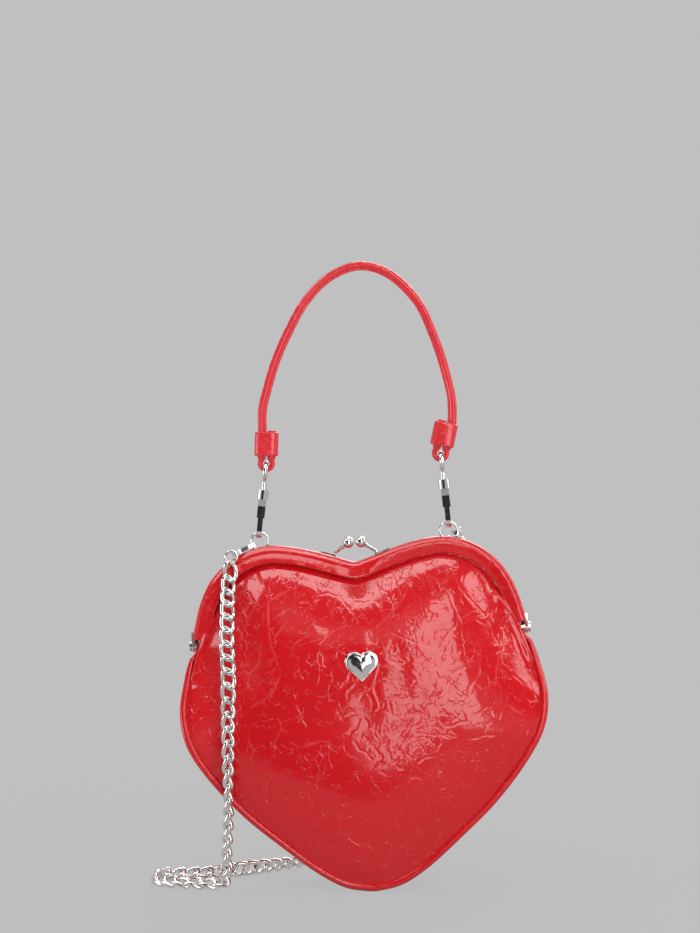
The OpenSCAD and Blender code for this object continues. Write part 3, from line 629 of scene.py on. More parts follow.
def bumped(tree, height, strength, distance, **settings):
    """A normal bent by a height, which counts for this many millimetres."""
    return node(tree, "Bump", Height=height, Strength=strength,
                Distance=distance * MM, **settings).outputs["Normal"]


def crease_net(tree, place, cell, stretch, turn, seed, width=0.05, patch=1.4,
               kept=((0.54, BLACK), (0.66, WHITE))):
    """Broken straight creases: the borders of stretched cells, kept in patches of noise."""
    turned = node(tree, "Mapping", Vector=place, Rotation=(0, turn, 0),
                  Location=(seed * 0.1, seed * 0.07, 0), Scale=(1, 1, stretch)).outputs["Vector"]
    net = node(tree, "TexVoronoi", Vector=turned, feature="DISTANCE_TO_EDGE",
               Scale=1 / (cell * MM))
    line = ramp(tree, net.outputs["Distance"], [(0.0, WHITE), (width, BLACK)])
    patches = clouds(tree, turned, cell * patch, Detail=1.0)
    return maths(tree, "MULTIPLY", line, ramp(tree, patches, kept))


# The leather's nets of fine creases, each as its size, stretch, turn and seed
NETS = (1, 0.6, 0.5, 1), (0.6, 1.5, 0.9, 2)
# How much the nets count beside the mesh's own creases, and how far both pale the colour as a
# painted highlight along the creases
NET_SHARE, PAINTED_HIGHLIGHT_SHARE = 0.45, 0.4


def leather_material(name, bright, deep, painted_highlight_colour, cell, depth, waver=(9, 4), tone=30, grain=1.6):
    """Glossy coated leather: deep red under a clear coat, with a painted highlight that pales it
    where it is creased.
    """
    made, tree, shader = new_material(name)
    place = coordinates(tree)
    moved = node(tree, "VectorMath",
                 clouds(tree, place, waver[0], "Color", Detail=2.0),
                 (waver[1] * MM,) * 3, place, operation="MULTIPLY_ADD").outputs[0]
    fine = maths(tree, "MAXIMUM", *(crease_net(tree, moved, cell * share, stretch, turn, seed)
                                    for share, stretch, turn, seed in NETS))
    stored = node(tree, "Attribute", attribute_name="crease").outputs["Fac"]
    folds = maths(tree, "MULTIPLY_ADD", fine, NET_SHARE, stored, use_clamp=True)
    tones = clouds(tree, place, tone, Detail=4.0, Roughness=0.6)
    colour = ramp(tree, tones, [(0.3, deep), (0.7, bright)])
    soft = bumped(tree, clouds(tree, place, grain, Detail=3.0), 0.25, 0.05)
    normal = bumped(tree, fine, 0.7, depth, Normal=soft, invert=True)
    feed(tree, shader, {
        # The base colour pales towards the painted highlight colour in the creases
        "Base Color": mixed(tree, maths(tree, "MULTIPLY", folds, PAINTED_HIGHLIGHT_SHARE), colour, painted_highlight_colour),
        "Normal": normal, "Coat Normal": normal, "Roughness": 0.5, "Specular IOR Level": 0.08,
        "Coat Weight": 1.0, "Coat Roughness": 0.09, "Coat IOR": 1.5})
    return made


def metal_material(name, colour, roughness, scratch, tarnish=5, mark=0.5, tarnish_tone=0.86):
    """Plated metal with fine polishing marks and a little tarnish in its tone."""
    made, tree, shader = new_material(name)
    place = coordinates(tree)
    spots = clouds(tree, place, tarnish, Detail=3.0)
    marks = clouds(tree, place, mark, Detail=4.0)
    smooth_tone, rough_tone = grey(roughness * 0.8), grey(roughness * 1.3)
    feed(tree, shader, {
        "Base Color": ramp(tree, spots, [(0.35, darker(colour, tarnish_tone)),
                                         (0.65, colour)]),
        "Roughness": ramp(tree, spots, [(0.35, smooth_tone), (0.65, rough_tone)]),
        "Normal": bumped(tree, marks, scratch, 0.03), "Metallic": 1.0})
    return made


def fabric_material(name, colour, thread=4):
    """A plain satin lining with a fine twill weave."""
    made, tree, shader = new_material(name)
    place = coordinates(tree)
    weave = maths(tree, "MULTIPLY", *(
        node(tree, "TexWave", Vector=place, wave_type="BANDS", bands_direction=way,
             Scale=1 / (thread * MM), Distortion=0.5).outputs["Fac"] for way in "XZ"))
    feed(tree, shader, {
        "Base Color": ramp(tree, weave, [(0.2, darker(colour, 0.75)), (0.8, colour)]),
        "Normal": bumped(tree, weave, 0.3, 0.1), "Roughness": 0.55, "Sheen Weight": 0.3})
    return made


red = linear(203, 10, 23)
red_deep = linear(197, 6, 18)
# The creases' paler colour: a painted highlight, standing in for crease ridges that catch the
# light
red_painted_highlight = linear(232, 92, 98)
panel_leather = leather_material("panel_leather", red, red_deep, red_painted_highlight, 7.0, 0.22)
trim_leather = leather_material("trim_leather", red, red_deep, red_painted_highlight, 4.5, 0.08)
handle_finish = leather_material("handle_finish", linear(215, 44, 54), linear(203, 34, 44),
                                 red_painted_highlight, 3.0, 0.1)
polished = metal_material("polished_plate", (0.83, 0.81, 0.79, 1), 0.12, 0.1)
steel = metal_material("frame_plate", (0.72, 0.71, 0.7, 1), 0.22, 0.2)
chain_plate = metal_material("chain_plate", (0.82, 0.8, 0.78, 1), 0.16, 0.15)
satin = fabric_material("lining_satin", linear(70, 66, 66))


# The camera, at the photograph's viewing angle

FRAME_LONG_SIDE = 933
SENSOR = 36.0
camera_data = bpy.data.cameras.new("camera")
camera_data.sensor_width = SENSOR
camera_data.lens = -SENSOR * CAMERA_AT[1] / (MM_PER_PIXEL * FRAME_LONG_SIDE)
camera = linked("camera", camera_data)
camera.location = [c * MM for c in CAMERA_AT]
camera.rotation_euler = (math.pi / 2, 0, 0)
scene.camera = camera


# The chain

LINK_PITCH = 7.6
LINK_WIRE_R = 1.2
LINK_W = 8.7
LINK_SKEW = 0.46
# How closely two wires lie, as a share of their thickness, and how square a link's ends are
NESTING, SQUARENESS = 0.95, 0.8
LINK_STEPS, WIRE_SIDES = 28, 10


def link_wire():
    """Rings round one link's wire: a loop that is twisted so that its neighbours lie flat."""
    t = np.linspace(0, 2 * math.pi, LINK_STEPS, endpoint=False)
    length, width = LINK_PITCH + 2 * LINK_WIRE_R * NESTING, LINK_W - 2 * LINK_WIRE_R
    x = length / 2 * np.cos(t)
    y = width / 2 * np.sign(np.sin(t)) * np.abs(np.sin(t)) ** SQUARENESS
    z = LINK_WIRE_R * NESTING * np.sin(2 * t)
    points = np.stack([x + LINK_SKEW * y, y, z], -1)
    t = units(np.roll(points, -1, 0) - np.roll(points, 1, 0))
    a = units(np.cross((0, 0, 1.0), t))
    return section_rings(points, circle(WIRE_SIDES), (a, np.cross(t, a)), LINK_WIRE_R)


chain_line = smooth(CHAIN_ROUTE, 12)
chain_at = run_of(chain_line)
CHAIN_LENGTH = chain_at[-1]


def chain_point(s):
    return interpolated(s, chain_at, chain_line)


# The direction of the chain's width along its route: (share of the route, direction)
CHAIN_WIDTH_DIRS = [
    (0.0, (1, 0, 0)), (0.115, (1, 0.05, 0)), (0.135, (0.75, 0.65, 0)), (0.17, (0.6, 0.8, 0)),
    (0.2, (0.2, 1, 0.6)), (0.26, (0.3, 0.8, 0.5)), (0.33, (0, 1, 0.35)),
    (0.6, (0.6, -0.6, 0.3)), (0.68, (1, 0, 0)), (1.0, (1, 0, 0)),
]
# How far before and after a link the route's direction is taken
ROUTE_REACH = 2


def chain_mesh(name, s0, s1):
    """The links whose middles lie between two places along the route."""
    flat = link_wire().reshape(-1, 3)
    link_faces = ring_faces(LINK_STEPS, WIRE_SIDES, closed=True)
    verts, faces = [], []
    count = int(CHAIN_LENGTH // LINK_PITCH)
    for s in (np.arange(count) + 0.5) * CHAIN_LENGTH / count:
        if not s0 <= s < s1:
            continue
        t = (chain_point(min(s + ROUTE_REACH, CHAIN_LENGTH))
             - chain_point(max(s - ROUTE_REACH, 0)))
        t /= np.linalg.norm(t)
        w = interpolated(s / CHAIN_LENGTH, *zip(*CHAIN_WIDTH_DIRS))
        w = w - t * (w @ t)
        w /= np.linalg.norm(w)
        start = len(verts) * len(flat)
        verts.append(chain_point(s) + flat[:, :1] * t + flat[:, 1:2] * w
                     + flat[:, 2:] * np.cross(t, w))
        faces += [tuple(start + k for k in f) for f in link_faces]
    return mesh_object(name, np.vstack(verts) * MM, faces, chain_plate)


# Down to this height in the row the chain's links are a piece of their own
SPLIT_Z = -183.0
SPLIT_S = chain_at[int(np.argmax(chain_line[:, 2] < SPLIT_Z))]
chain_top = chain_mesh("chain_top_links", 0, SPLIT_S)
chain = chain_mesh("shoulder_chain", SPLIT_S, CHAIN_LENGTH + 1)
stand_in(chain, "strap_chain")


# The panels

# Past the folded edge a panel runs on inside the frame's end to here, on the right
TUCKED = np.array([(84.6, 152), (86.9, 145), (87.4, 139), (88.3, 134), (90.3, 129),
                   (91.6, 124)])
TUCKED_FOOT = 120
# How far in from the frame's and the seam's outline a panel ends
PANEL_IN, PANEL_SIDE_IN, PANEL_STEP = 3.0, 3.6, 0.5
FRONT_CELLS = 400
BACK_CELLS = 200
INNER_CELLS = 50
panel_edge = closed_edge(PANEL_IN, PANEL_SIDE_IN, TUCKED, TUCKED_FOOT, PANEL_STEP)[:-1]

# The leather is fullest below the notch: where, over what distance and by how much
FULL_AT, FULL_REACH, FULL_RISE = (0, 138), 14, 1.5
# A panel's swells, as length of wave and height, and its creases' depth, drift and changes
BROAD_SIZE, BROAD_RISE = 46, 0.4
MIDDLE_SIZE, MIDDLE_RISE = 21, 0.2
PLEAT_SIZE, PLEAT_RISE = 12, 0.6
DENT_SIZE, DENT_RISE, WORKED_RISE = 9, 0.03, 0.06
CREASE_DEPTH, DRIFT, DRIFT_SIZE = 0.22, 0.45, 3.2
DEPTH_MEAN, DEPTH_CHANGE, DEPTH_SIZE, DEPTH_SHARES = 0.75, 0.7, 5, (0.2, 1)
# From where and over what distance it is an upper part, worked, pleated and past its edge
UPPER, WORKED, PLEATED, EDGE_RUN = (40, 60), (-5, 30), (70, 80), (0.5, 9)


def panel_mesh(name, side, seed, cells, lines):
    flat = panel_grid(cells)
    inner = panel_grid(INNER_CELLS)
    start, run = EDGE_RUN
    edge = np.clip((distance_to(rim, flat) - start) / run, 0, 1) * inside(rim, flat)
    drift = np.stack([noise_at(flat, DRIFT_SIZE, seed), noise_at(flat, DRIFT_SIZE, seed + 1)],
                     -1)
    deep = crease_field(flat + DRIFT * drift, lines)
    deep = deep * np.clip(DEPTH_MEAN + DEPTH_CHANGE * noise_at(flat, DEPTH_SIZE, seed + 5),
                          *DEPTH_SHARES)
    upper = risen(flat[:, 1], *UPPER)
    worked = risen(flat[:, 0], *WORKED) * upper
    pleats = noise_at(flat * (1, 0.3), PLEAT_SIZE, seed + 6) * risen(flat[:, 1], *PLEATED)
    away = np.linalg.norm(flat - FULL_AT, axis=1) / FULL_REACH
    swell = (FULL_RISE * np.exp(-away ** 2 / 2)
             + noise_at(flat, BROAD_SIZE, seed + 2) * BROAD_RISE
             + noise_at(flat, MIDDLE_SIZE, seed + 3) * MIDDLE_RISE * upper
             + PLEAT_RISE * pleats
             + noise_at(flat, DENT_SIZE, seed + 4) * (DENT_RISE * upper + WORKED_RISE * worked))
    outward = panel_depth(flat) + (swell - CREASE_DEPTH * deep) * edge
    inward = panel_depth(inner) - PANEL_T
    made = shell_object(name, side, upright(flat, side * outward), cells,
                        upright(inner, side * inward), INNER_CELLS, panel_leather)
    # The crease depth, which the leather's shader also uses for its painted highlight along the
    # creases
    stored = made.data.attributes.new("crease", "FLOAT", "POINT")
    stored.data.foreach_set("value", np.r_[deep * edge, np.zeros(len(inner))])
    return made


front = stand_in(panel_mesh("front_panel_leather", -1, 3, FRONT_CELLS,
                            crease_lines(11, CREASE_LINES, CREASE_PATCHES, 0.8)),
                 "front_panel")
back = stand_in(panel_mesh("back_panel_leather", 1, 8, BACK_CELLS,
                           crease_lines(23, [], CREASE_PATCHES[2:6], 0.6)),
                "back_panel")


# The gusset, its lining, and the piping

# Above the seam the strips run on to here, and the piping to its own end, on the right
GORE = np.array([(92.6, 127.5), (90.2, 131), (88.6, 134.5), (88.0, 139), (87.6, 146)])
SEAM_TOP = 124
PIPING_END = np.array([(90.4, 130.2), (89.2, 132.0), (88.2, 134.2)])
PIPING_TOP = 129
# The piping gets thinner from this height up, over this run, by this share
PIPING_THINS = 120, 13, 0.45
STRIP_STEP, PIPING_STEP, PIPING_SIDES = 2.0, 1.2, 16
STRIP_BOW, STRIP_ACROSS = 0.8, 17


def with_ends(path, end):
    """A path from side to side, carried on by the same points at both its ends."""
    return np.vstack([(end * (-1, 1))[::-1], path, end])


def strip_mesh(name, sunk, thick, short, material):
    """A strip that follows the lower outline from seam to seam, bowed in the middle."""
    across = np.linspace(-1, 1, STRIP_ACROSS)
    path = evenly(with_ends(body_path[body_path[:, 1] < SEAM_TOP], GORE), STRIP_STEP)
    rings = []
    for p, m in zip(path, normals_2d(path)):
        y = across * (gusset_half(min(p[1], HINGE_H)) - short)
        dip = (sunk + STRIP_BOW * (1 - across ** 2))[:, None]
        rings.append(np.vstack([upright(p - dip * m, y),
                                upright(p - (dip + thick) * m, y)[::-1]]))
    return swept_object(name, rings, material)


gusset = stand_in(strip_mesh("gusset_leather", PIPING_D / 2 - 0.75, 1.5, 1.0, trim_leather),
                  "gusset")
gusset_lining = stand_in(strip_mesh("gusset_lining_cloth", PIPING_D / 2 + 1.2, 0.6, 2.0, satin),
                         "gusset_lining")


def piping_mesh(name, side):
    path = evenly(inset(body_path, -PIPING_D / 2), PIPING_STEP)
    path = evenly(with_ends(path[path[:, 1] < PIPING_TOP], PIPING_END), PIPING_STEP)
    line = upright(path, side * gusset_half(path[:, 1]))
    start, run, share = PIPING_THINS
    radius = PIPING_D / 2 * (1 - share * risen(path[:, 1], start, run))
    rings = section_rings(line, circle(PIPING_SIDES), sides_along(line), radius)
    return swept_object(name, rings, trim_leather)


front_piping, back_piping = both_halves(piping_mesh, "piping_leather", "piping")


# The linings of the two panels

LINING_T, LINING_GAP, LEAST_DEPTH = 0.5, 0.5, 1.0
LINING_FOLD, LINING_FOLD_SIZE = 0.2, 14


def lining_mesh(name, side):
    flat = panel_grid(INNER_CELLS)
    depth = np.maximum(panel_depth(flat) - PANEL_T - LINING_GAP, LEAST_DEPTH)
    folds = LINING_FOLD * noise_at(flat * (1, 0), LINING_FOLD_SIZE, 5)
    face, back_face = (upright(flat, side * (depth - t + folds)) for t in (0, LINING_T))
    return shell_object(name, side, face, INNER_CELLS, back_face, INNER_CELLS, satin)


front_lining, back_lining = both_halves(lining_mesh, "lining_cloth", "lining")


# The leather over the frame

# How far the face of the band leans: its outer edge stands back by this, left and right
LEAN_BACK = (1.4, -1.3)
# Where the lean starts to go over from left to right, and over what width
LEAN_CHANGES = -12, 34
# The left corner's section: rounded, then a slope of 26 degrees that runs into the face
SLOPED_CORNER = [(0, 4.3), (0, 4.9), (0.1, 5.5), (0.25, 5.85), (0.6, 6.12), (1.2, 6.42),
                 (1.8, 6.7), (2.3, 6.9), (2.6, 6.98)]
CORNER_R = 2.6
# The face's bulge, where it has its points, and how its top edge gives way to its lean
FACE_BULGE, FACE_SHARES = 0.2, (0.15, 0.3, 0.45, 0.6, 0.75, 0.88)
MOST_BACK, FORWARD_SHARE = 0.5, 0.25
FOLD_R = 0.3
PUCKER_SIZE, PUCKER_RISE = 4, 0.07
COVER_STEP = 0.8


def cover_profile(slot, lean):
    """The section of the leather over one half: (distance in from the outline, depth)."""
    near = MOUTH_GAP / 2 + (SLOT_W / 2 - MOUTH_GAP / 2) * slot
    leant = max(lean, 0)
    top = HALF_D - min(leant, MOST_BACK) - FORWARD_SHARE * min(lean, 0)
    broad = min(leant / LEAN_BACK[0], 1)
    r = CORNER_R
    corner = []
    for a, slope in zip(np.linspace(math.pi / 2, 0, len(SLOPED_CORNER)), SLOPED_CORNER):
        tight = (r - r * math.sin(a), top - r + r * math.cos(a))
        corner.append(tuple(t + (s - t) * broad for t, s in zip(tight, slope)))
    face = [(r + (BAND_H - r) * s, top + lean * s + FACE_BULGE * math.sin(math.pi * s))
            for s in FACE_SHARES]
    low, under = top + lean, HALF_D - COVER_T
    return np.array([(COVER_T, near), (0.15, near), (0, near + FOLD_R)] + corner + face + [
        (BAND_H - 0.25, low - 0.12), (BAND_H, low - 0.5), (BAND_H - 0.1, under),
        (BAND_H - 1, under), (COVER_T + FOLD_R, under), (COVER_T, under - FOLD_R)])


def eased_notch(path, reach=7, rounds=14):
    """The frame's outline with the leather drawn more softly round the notch."""
    calm = path.copy()
    for _ in range(rounds):
        calm[1:-1] = (calm[:-2] + 2 * calm[1:-1] + calm[2:]) / 4
    near = np.exp(-(path[:, :1] / reach) ** 2)
    return path + (calm - path) * near


def cover_mesh(name, side):
    path = eased_notch(evenly(frame_path, COVER_STEP))
    puckers = noise_at(path, PUCKER_SIZE, 40 + side)
    rings = []
    for p, m, pucker in zip(path, normals_2d(path), puckers):
        slot = ease((SLOT_L / 2 + 0.5 - abs(abs(p[0]) - RING_X)) / 0.8)
        right = risen(p[0], *LEAN_CHANGES)
        prof = cover_profile(slot, LEAN_BACK[0] * (1 - right) + LEAN_BACK[1] * right)
        face = np.clip((prof[:, 1] - HALF_D + 2.4) / 2, 0, 1)
        rings.append(upright(p + prof[:, :1] * m,
                             side * (prof[:, 1] + PUCKER_RISE * pucker * face)))
    return swept_object(name, rings, trim_leather, flip=side > 0)


front_cover, back_cover = both_halves(cover_mesh, "cover_leather", "frame_cover")


# The handle: rolled leather folded back through each hook's eye

LOOP_PLAY = 0.6
LOOP_R = THONG_R + EYE_WIRE_R + LOOP_PLAY


def loop_at(side):
    lean = math.radians(LEAN[side])
    reach = HOOK_RISE / math.cos(lean) + LOOP_R
    return side * RING_X + reach * math.sin(lean), RING_TOP_Z + reach * math.cos(lean)


def placed(side, p):
    x0, z0 = loop_at(side)
    a = math.radians(TURN[side])
    return (x0 + p[0] * math.cos(a) + p[1] * math.sin(a),
            z0 - p[0] * math.sin(a) + p[1] * math.cos(a), p[2])


collar_up = COLLAR_H - RING_TOP_Z - HOOK_RISE - LOOP_R
strand_x = STRAND_GAP / 2
low_z = collar_up - COLLAR_L / 2 - COLLAR_T / 2
high_z = collar_up + COLLAR_L / 2 + COLLAR_T
neck_x = LOOP_R * 0.3 + strand_x * 0.7
# The inner strand's thickness, and a neck's height and thickness, as shares
INNER_STRAND, NECK_AT, NECK_R = 0.96, 0.45, 1.1


def fold(side):
    """One end of the handle, from its cut end inside the collar round the eye and back up."""
    down = [(-side * strand_x, z, ROLL_R * INNER_STRAND) for z in (high_z, collar_up, low_z)]
    necks = [[(s * neck_x, low_z * NECK_AT, THONG_R * NECK_R)] for s in (-side, side)]
    turn = [(-side * LOOP_R * math.cos(a), -LOOP_R * math.sin(a), THONG_R)
            for a in np.radians(np.arange(0, 181, 20))]
    up = [(side * strand_x, z, ROLL_R) for z in (low_z, collar_up, high_z)]
    return [placed(side, p) for p in down + necks[0] + turn + necks[1] + up]


arch = [(a * ARCH_W, COLLAR_H + b * ARCH_H, ROLL_R) for a, b in ARCH_SHARES]
HANDLE_STEP = 0.8
handle_track = evenly(smooth(fold(-1) + arch + fold(1)[::-1], 8), HANDLE_STEP)
MOTTLE_SIZE, MOTTLE = 3.5, 0.05


def rolled_section():
    """The section of the folded leather, for a radius of 1: a roll and its sewn edge.
    Each point is (outwards in the arch's plane, across it)."""
    roll_at, roll, edge_at, edge = 0.24, 0.76, -0.72, 0.27
    points = [(roll_at + roll * math.cos(a), roll * math.sin(a))
              for a in np.radians(np.linspace(-148, 148, 25))]
    points += [(edge_at + edge * math.cos(a), edge * math.sin(a))
               for a in np.radians(np.linspace(62, 298, 11))]
    return np.array(points)


def handle_rings():
    line = upright(handle_track, 0 * handle_track[:, 0])
    across, outwards = sides_along(line)
    mottle = noise_at(handle_track[:, :2], MOTTLE_SIZE, 61) * MOTTLE + 1
    return section_rings(line, rolled_section(), (outwards, across),
                         handle_track[:, 2] * mottle)


handle = stand_in(swept_object("rolled_handle", handle_rings(), handle_finish),
                  "handle_leather")

LAP_RISE = 0.35
LAP_AT = math.radians(235)
LAP_REACH, LAP_FALL = 1.9, 0.25
COLLAR_SIDES, COLLAR_PLAY = 48, 0.12


def collar_mesh(name, side):
    """A strip of leather wrapped round both strands, with its lap at the front."""
    turn = np.linspace(0, 2 * math.pi, COLLAR_SIDES, endpoint=False)

    def ring(w, grow):
        lap = LAP_RISE * (grow > 0.5) * ease((LAP_REACH - abs(turn - LAP_AT)) / LAP_FALL)
        r = ROLL_R + COLLAR_PLAY + grow + lap
        x = (np.cos(turn) * r
             + np.sign(np.cos(turn)) * strand_x * np.minimum(1, abs(np.cos(turn)) * 4))
        flat = np.array([placed(side, (a, collar_up + w, 0))[:2] for a in x])
        return upright(flat, np.sin(turn) * r)

    half = COLLAR_L / 2
    rows = [(-half + 0.1, 0.1), (-half, 0.35), (-half, COLLAR_T - 0.3), (-half + 0.3, COLLAR_T)]
    rows += [(w, COLLAR_T + 0.1) for w in np.linspace(-half + 1.2, half - 1.2, 8)]
    rows += [(-w, grow) for w, grow in rows[3::-1]]
    rings = [ring(w, grow) for w, grow in rows]
    return mesh_object(name, to_row(np.vstack(rings)),
                       ring_faces(len(rings), COLLAR_SIDES, closed=True), handle_finish)


for word, side in SIDES:
    collar = stand_in(collar_mesh(f"collar_{word}", side), f"handle_collar_{word}")
    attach(collar, "handle")


# The stud on the front: a plain polished heart with a domed face and a flat rim

def heart_outline(count):
    """A heart one unit wide: two round lobes on a square that stands on its corner."""
    lobe = 1 / (2 + 2 * math.sqrt(0.5))
    s = math.sqrt(2) * lobe
    rise = lobe * 0.75
    right = [(s / 2 + lobe * math.cos(a), s / 2 + lobe * math.sin(a))
             for a in np.linspace(-math.pi / 4, math.pi * 3 / 4, 40)]
    half = np.array([(0, -s)] + right)
    ring = np.vstack([half, (half[1:-1] * (-1, 1))[::-1]]) - (0, rise)
    return evenly(np.vstack([ring, ring[:1]]), 1 / count)[:-1]


# The stud's section: share of its outline, height above its seat
STUD_ROWS = [(0.94, 0.0), (1.0, 0.25), (1.0, 0.7), (0.95, 0.95), (0.9, 0.98), (0.86, 0.9),
             (0.8, 1.15), (0.7, 1.65), (0.56, 2.05), (0.38, 2.3), (0.18, 2.4)]
STUD_MIDDLE = np.array((0.0, -0.08))
STUD_SUNK = 0.1


def stud_mesh():
    flat = heart_outline(28)
    seat = -panel_depth(np.array([(0.0, BADGE_Z)]))[0] - STUD_SUNK
    rings = []
    for share, out in STUD_ROWS:
        p = STUD_MIDDLE + (flat - STUD_MIDDLE) * share
        rings.append(upright(p * BADGE_W + (0, BADGE_Z), np.full(len(p), seat - out)))
    return swept_object("heart_stud", rings, polished)


stud = stand_in(stud_mesh(), "badge")
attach(stud, "bag")


# The chain's left clasp and ring, as copies of their nodes in the chain's finish

def finish_node(mesh, finish):
    mesh.materials.clear()
    mesh.materials.append(finish)


def bending_copy(node_name, name):
    made = linked(name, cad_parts[node_name].data.copy())
    finish_node(made.data, chain_plate)
    return stand_in(made, node_name)


left_end = [bending_copy("chain_clasp_left", "left_end_clasp"),
            bending_copy("chain_ring_left", "left_end_ring")]


# Finishes of the CAD parts that stay as they are

OF_HALVES = {"frame": steel, "clasp_arm": polished, "clasp_ball": polished}
OF_SIDES = {"hinge_rivet": polished, "ring": polished, "hook_eye": polished,
            "hook_body": polished, "hook_lever": polished, "hook_pin": steel,
            "chain_lever": chain_plate}
METALS = {"chain_clasp_right": chain_plate, "chain_ring_right": chain_plate}
METALS.update({f"{half}_{part}": finish for half, _ in HALVES
               for part, finish in OF_HALVES.items()})
METALS.update({f"{part}_{word}": finish for word, _ in SIDES
               for part, finish in OF_SIDES.items()})
ROUNDED = ("hook_body", "hook_lever", "chain_clasp", "front_clasp_arm", "back_clasp_arm")
ROUNDING, ROUNDED_OVER = 0.25, 35
for name, finish in METALS.items():
    finish_node(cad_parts[name].data, finish)
    if name.startswith(ROUNDED):
        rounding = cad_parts[name].modifiers.new("rounding", "BEVEL")
        rounding.width = ROUNDING * MM
        rounding.segments = 3
        rounding.limit_method = "ANGLE"
        rounding.angle_limit = math.radians(ROUNDED_OVER)


# What each piece moves with

for piece in (back, gusset, gusset_lining, front_piping, back_piping, back_lining, back_cover):
    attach(piece, "bag")
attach(front_cover, "front")
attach(handle, "handle")
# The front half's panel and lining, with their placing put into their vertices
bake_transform(front)
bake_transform(front_lining)
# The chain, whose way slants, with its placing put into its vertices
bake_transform(chain)
# What hangs over the frame, with its placing put into its vertices
for piece in left_end + [chain_top]:
    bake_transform(piece)


# The floor, backdrop, lamps and world

BACKDROP = linear(192, 192, 192)
DARK = grey(0.045)
# The backdrop's share of its grey near the bag, and over which metres it grows to all
NEAR_SHARE, NEAR_AT, FAR_AT = 0.88, 0.36, 0.9


def larger_of(tree, path, *rays):
    """1 for a ray of either kind."""
    return maths(tree, "MAXIMUM", *(path.outputs[f"Is {ray} Ray"] for ray in rays))


def backdrop_material():
    made, tree, _ = new_material("backdrop")
    tree.nodes.clear()
    diffuse = node(tree, "BsdfDiffuse", Color=grey(0.4))
    flat = node(tree, "Emission", Color=BACKDROP, Strength=1.0)
    seen = larger_of(tree, node(tree, "LightPath"), "Camera", "Glossy")
    away = node(tree, "VectorMath", coordinates(tree), operation="LENGTH")
    far = ramp(tree, away.outputs["Value"], [(NEAR_AT, grey(NEAR_SHARE)), (FAR_AT, WHITE)])
    mix = node(tree, "MixShader", maths(tree, "MULTIPLY", seen, far),
               diffuse.outputs[0], flat.outputs[0])
    node(tree, "OutputMaterial", Surface=mix.outputs[0])
    return made


def backdrop_mesh():
    """A round floor that ends a little in front of the bag, and goes on behind it."""
    front_y, middle_y, reach, count = -0.2, 0.5, 2.6, 96
    verts = [(reach * x, max(front_y, reach * y), FLOOR_Z * MM) for x, y in circle(count)]
    verts.append((0, middle_y, FLOOR_Z * MM))
    faces = [(count, k, (k + 1) % count) for k in range(count)]
    return mesh_object("backdrop", verts, faces, backdrop_material())


backdrop = backdrop_mesh()

BAG_MIDDLE = Vector((0, 0, -0.23))
# Each softbox: its direction from the bag as degrees round from the front and up, its
# distance and its width and height in metres, and its brightness, where 1 is white
SOFTBOXES = {
    "key_right": ((17, 21), 1.35, (0.48, 1.45), 3.9),
    "low_right": ((4.5, -7), 1.35, (0.13, 0.26), 4.0),
    "overhead": ((4, 87), 1.0, (0.8, 0.2), 5.0),
    "upper_right": ((74, 40), 1.1, (0.2, 0.45), 4.5),
    "upper_left": ((-72, 53), 1.1, (0.6, 0.42), 4.6),
    "band_left": ((-25, 42), 1.1, (1.1, 0.75), 4.2),
    "strip_left": ((-84, 6), 1.1, (0.45, 0.45), 3.8),
    "strip_right": ((95, 28), 1.1, (0.2, 0.7), 5.5),
    "from_behind": ((165, 35), 1.6, (0.9, 0.9), 4.0),
}
# These are seen in reflections, and the world gives the light they would add
ONLY_REFLECTED = {"overhead", "upper_left", "low_right", "upper_right", "band_left"}


def direction(turn, up):
    """The way that points this many degrees round from the front, and up."""
    turn, up = math.radians(turn), math.radians(up)
    return Vector((math.sin(turn) * math.cos(up), -math.cos(turn) * math.cos(up),
                   math.sin(up)))


def softbox(name, way, away, size, brightness):
    lamp = bpy.data.lights.new(name, "AREA")
    lamp.shape = "RECTANGLE"
    lamp.size, lamp.size_y = size
    lamp.energy = brightness * math.pi * size[0] * size[1]
    made = linked(name, lamp)
    at = BAG_MIDDLE + away * direction(*way)
    made.location = at
    made.rotation_euler = (BAG_MIDDLE - at).to_track_quat("-Z", "Y").to_euler()
    made.visible_diffuse = name not in ONLY_REFLECTED


for box_name, settings in SOFTBOXES.items():
    softbox(box_name, *settings)

# One box lights only the front band's leather, and two leave out the snap hooks
band_only = bpy.data.collections.new("band_only")
band_only.objects.link(front_cover)
bpy.data.objects["band_left"].light_linking.receiver_collection = band_only
hooks_left_out = bpy.data.collections.new("hooks_left_out")
for name in ("hook_body_left", "hook_body_right", "hook_lever_left", "hook_lever_right"):
    hooks_left_out.objects.link(bpy.data.objects[name])
for entry in hooks_left_out.collection_objects:
    entry.light_linking.link_state = "EXCLUDE"
for name in ("key_right", "low_right"):
    bpy.data.objects[name].light_linking.receiver_collection = hooks_left_out


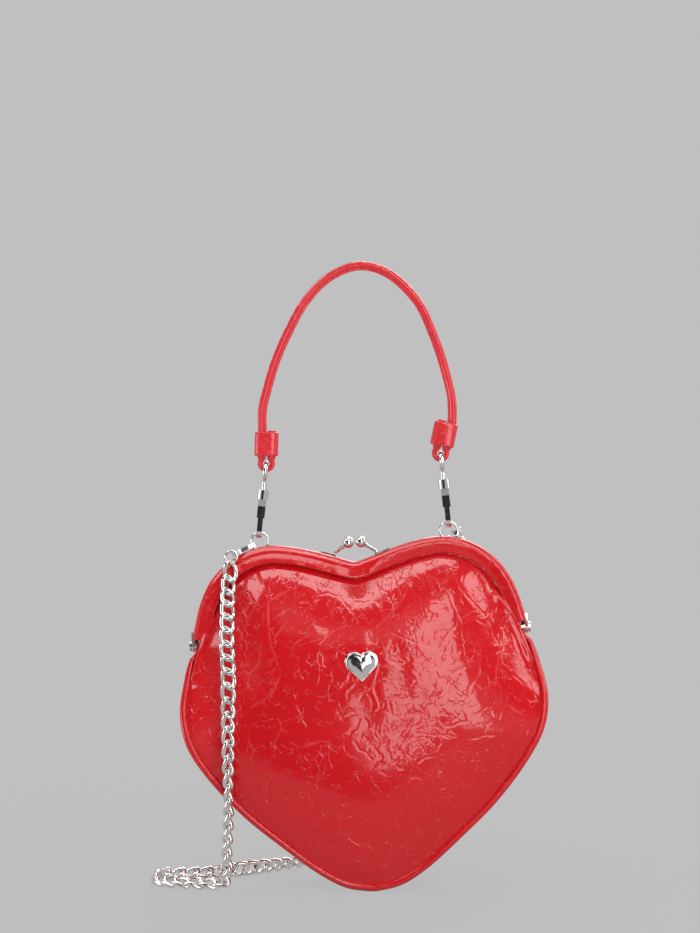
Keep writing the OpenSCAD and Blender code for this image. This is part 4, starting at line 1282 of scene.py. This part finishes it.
def towards(tree, way, centre, reach, away_tone, centre_tone):
    """A round patch of the world about a direction, as degrees round and up: the centre's
    tone within the first reach and the other tone beyond the second."""
    dot = node(tree, "VectorMath", way, direction(*centre), operation="DOT_PRODUCT")
    near, far = (math.cos(math.radians(d)) for d in reach)
    return ramp(tree, dot.outputs["Value"], [(far, away_tone), (near, centre_tone)])


# The world's walls, and its pale patch above and dark one in front: middle and reach in
# degrees
PLAIN, PLAIN_STRENGTH = grey(0.5), 1.5
PALE_BEHIND = 0.3
WALL_SLOPE, WALL_LEVEL = -4.5, 1.55
PALE_PATCH, DARK_PATCH = ((0, 42), (9, 20)), ((-11, 4), (20, 30))


def studio_world():
    """A grey studio with a dark ceiling, and the dark place of the camera in front; the
    camera and polished surfaces see the backdrop's grey."""
    world = bpy.data.worlds.new("studio")
    world.use_nodes = True
    scene.world = world
    tree = world.node_tree
    plain = tree.nodes["Background"]
    feed(tree, plain, {"Color": PLAIN, "Strength": PLAIN_STRENGTH})
    seen = node(tree, "Background", Color=BACKDROP, Strength=1.0)
    way = node(tree, "TexCoord").outputs["Generated"]
    split = node(tree, "SeparateXYZ", way)
    tone = ramp(tree, split.outputs["Y"], [(0.0, DARK), (PALE_BEHIND, WHITE)])
    low = maths(tree, "MULTIPLY_ADD", split.outputs["Z"], WALL_SLOPE, WALL_LEVEL)
    walls = ramp(tree, low, [(0.0, DARK), (1.0, WHITE)])
    for other in (walls, towards(tree, way, *PALE_PATCH, DARK, WHITE)):
        tone = mixed(tree, 1.0, tone, other, "LIGHTEN")
    shaded = mixed(tree, 1.0, tone, towards(tree, way, *DARK_PATCH, WHITE, DARK), "MULTIPLY")
    reflected = node(tree, "Background", Color=shaded, Strength=BACKDROP[0])
    path = node(tree, "LightPath")
    gloss = node(tree, "MixShader", path.outputs["Is Glossy Ray"], plain.outputs[0],
                 reflected.outputs[0])
    final = node(tree, "MixShader", larger_of(tree, path, "Camera", "Transmission"),
                 gloss.outputs[0], seen.outputs[0])
    feed(tree, tree.nodes["World Output"], {"Surface": final.outputs[0]})

studio_world()

bpy.context.scene.view_settings.view_transform = "Standard"
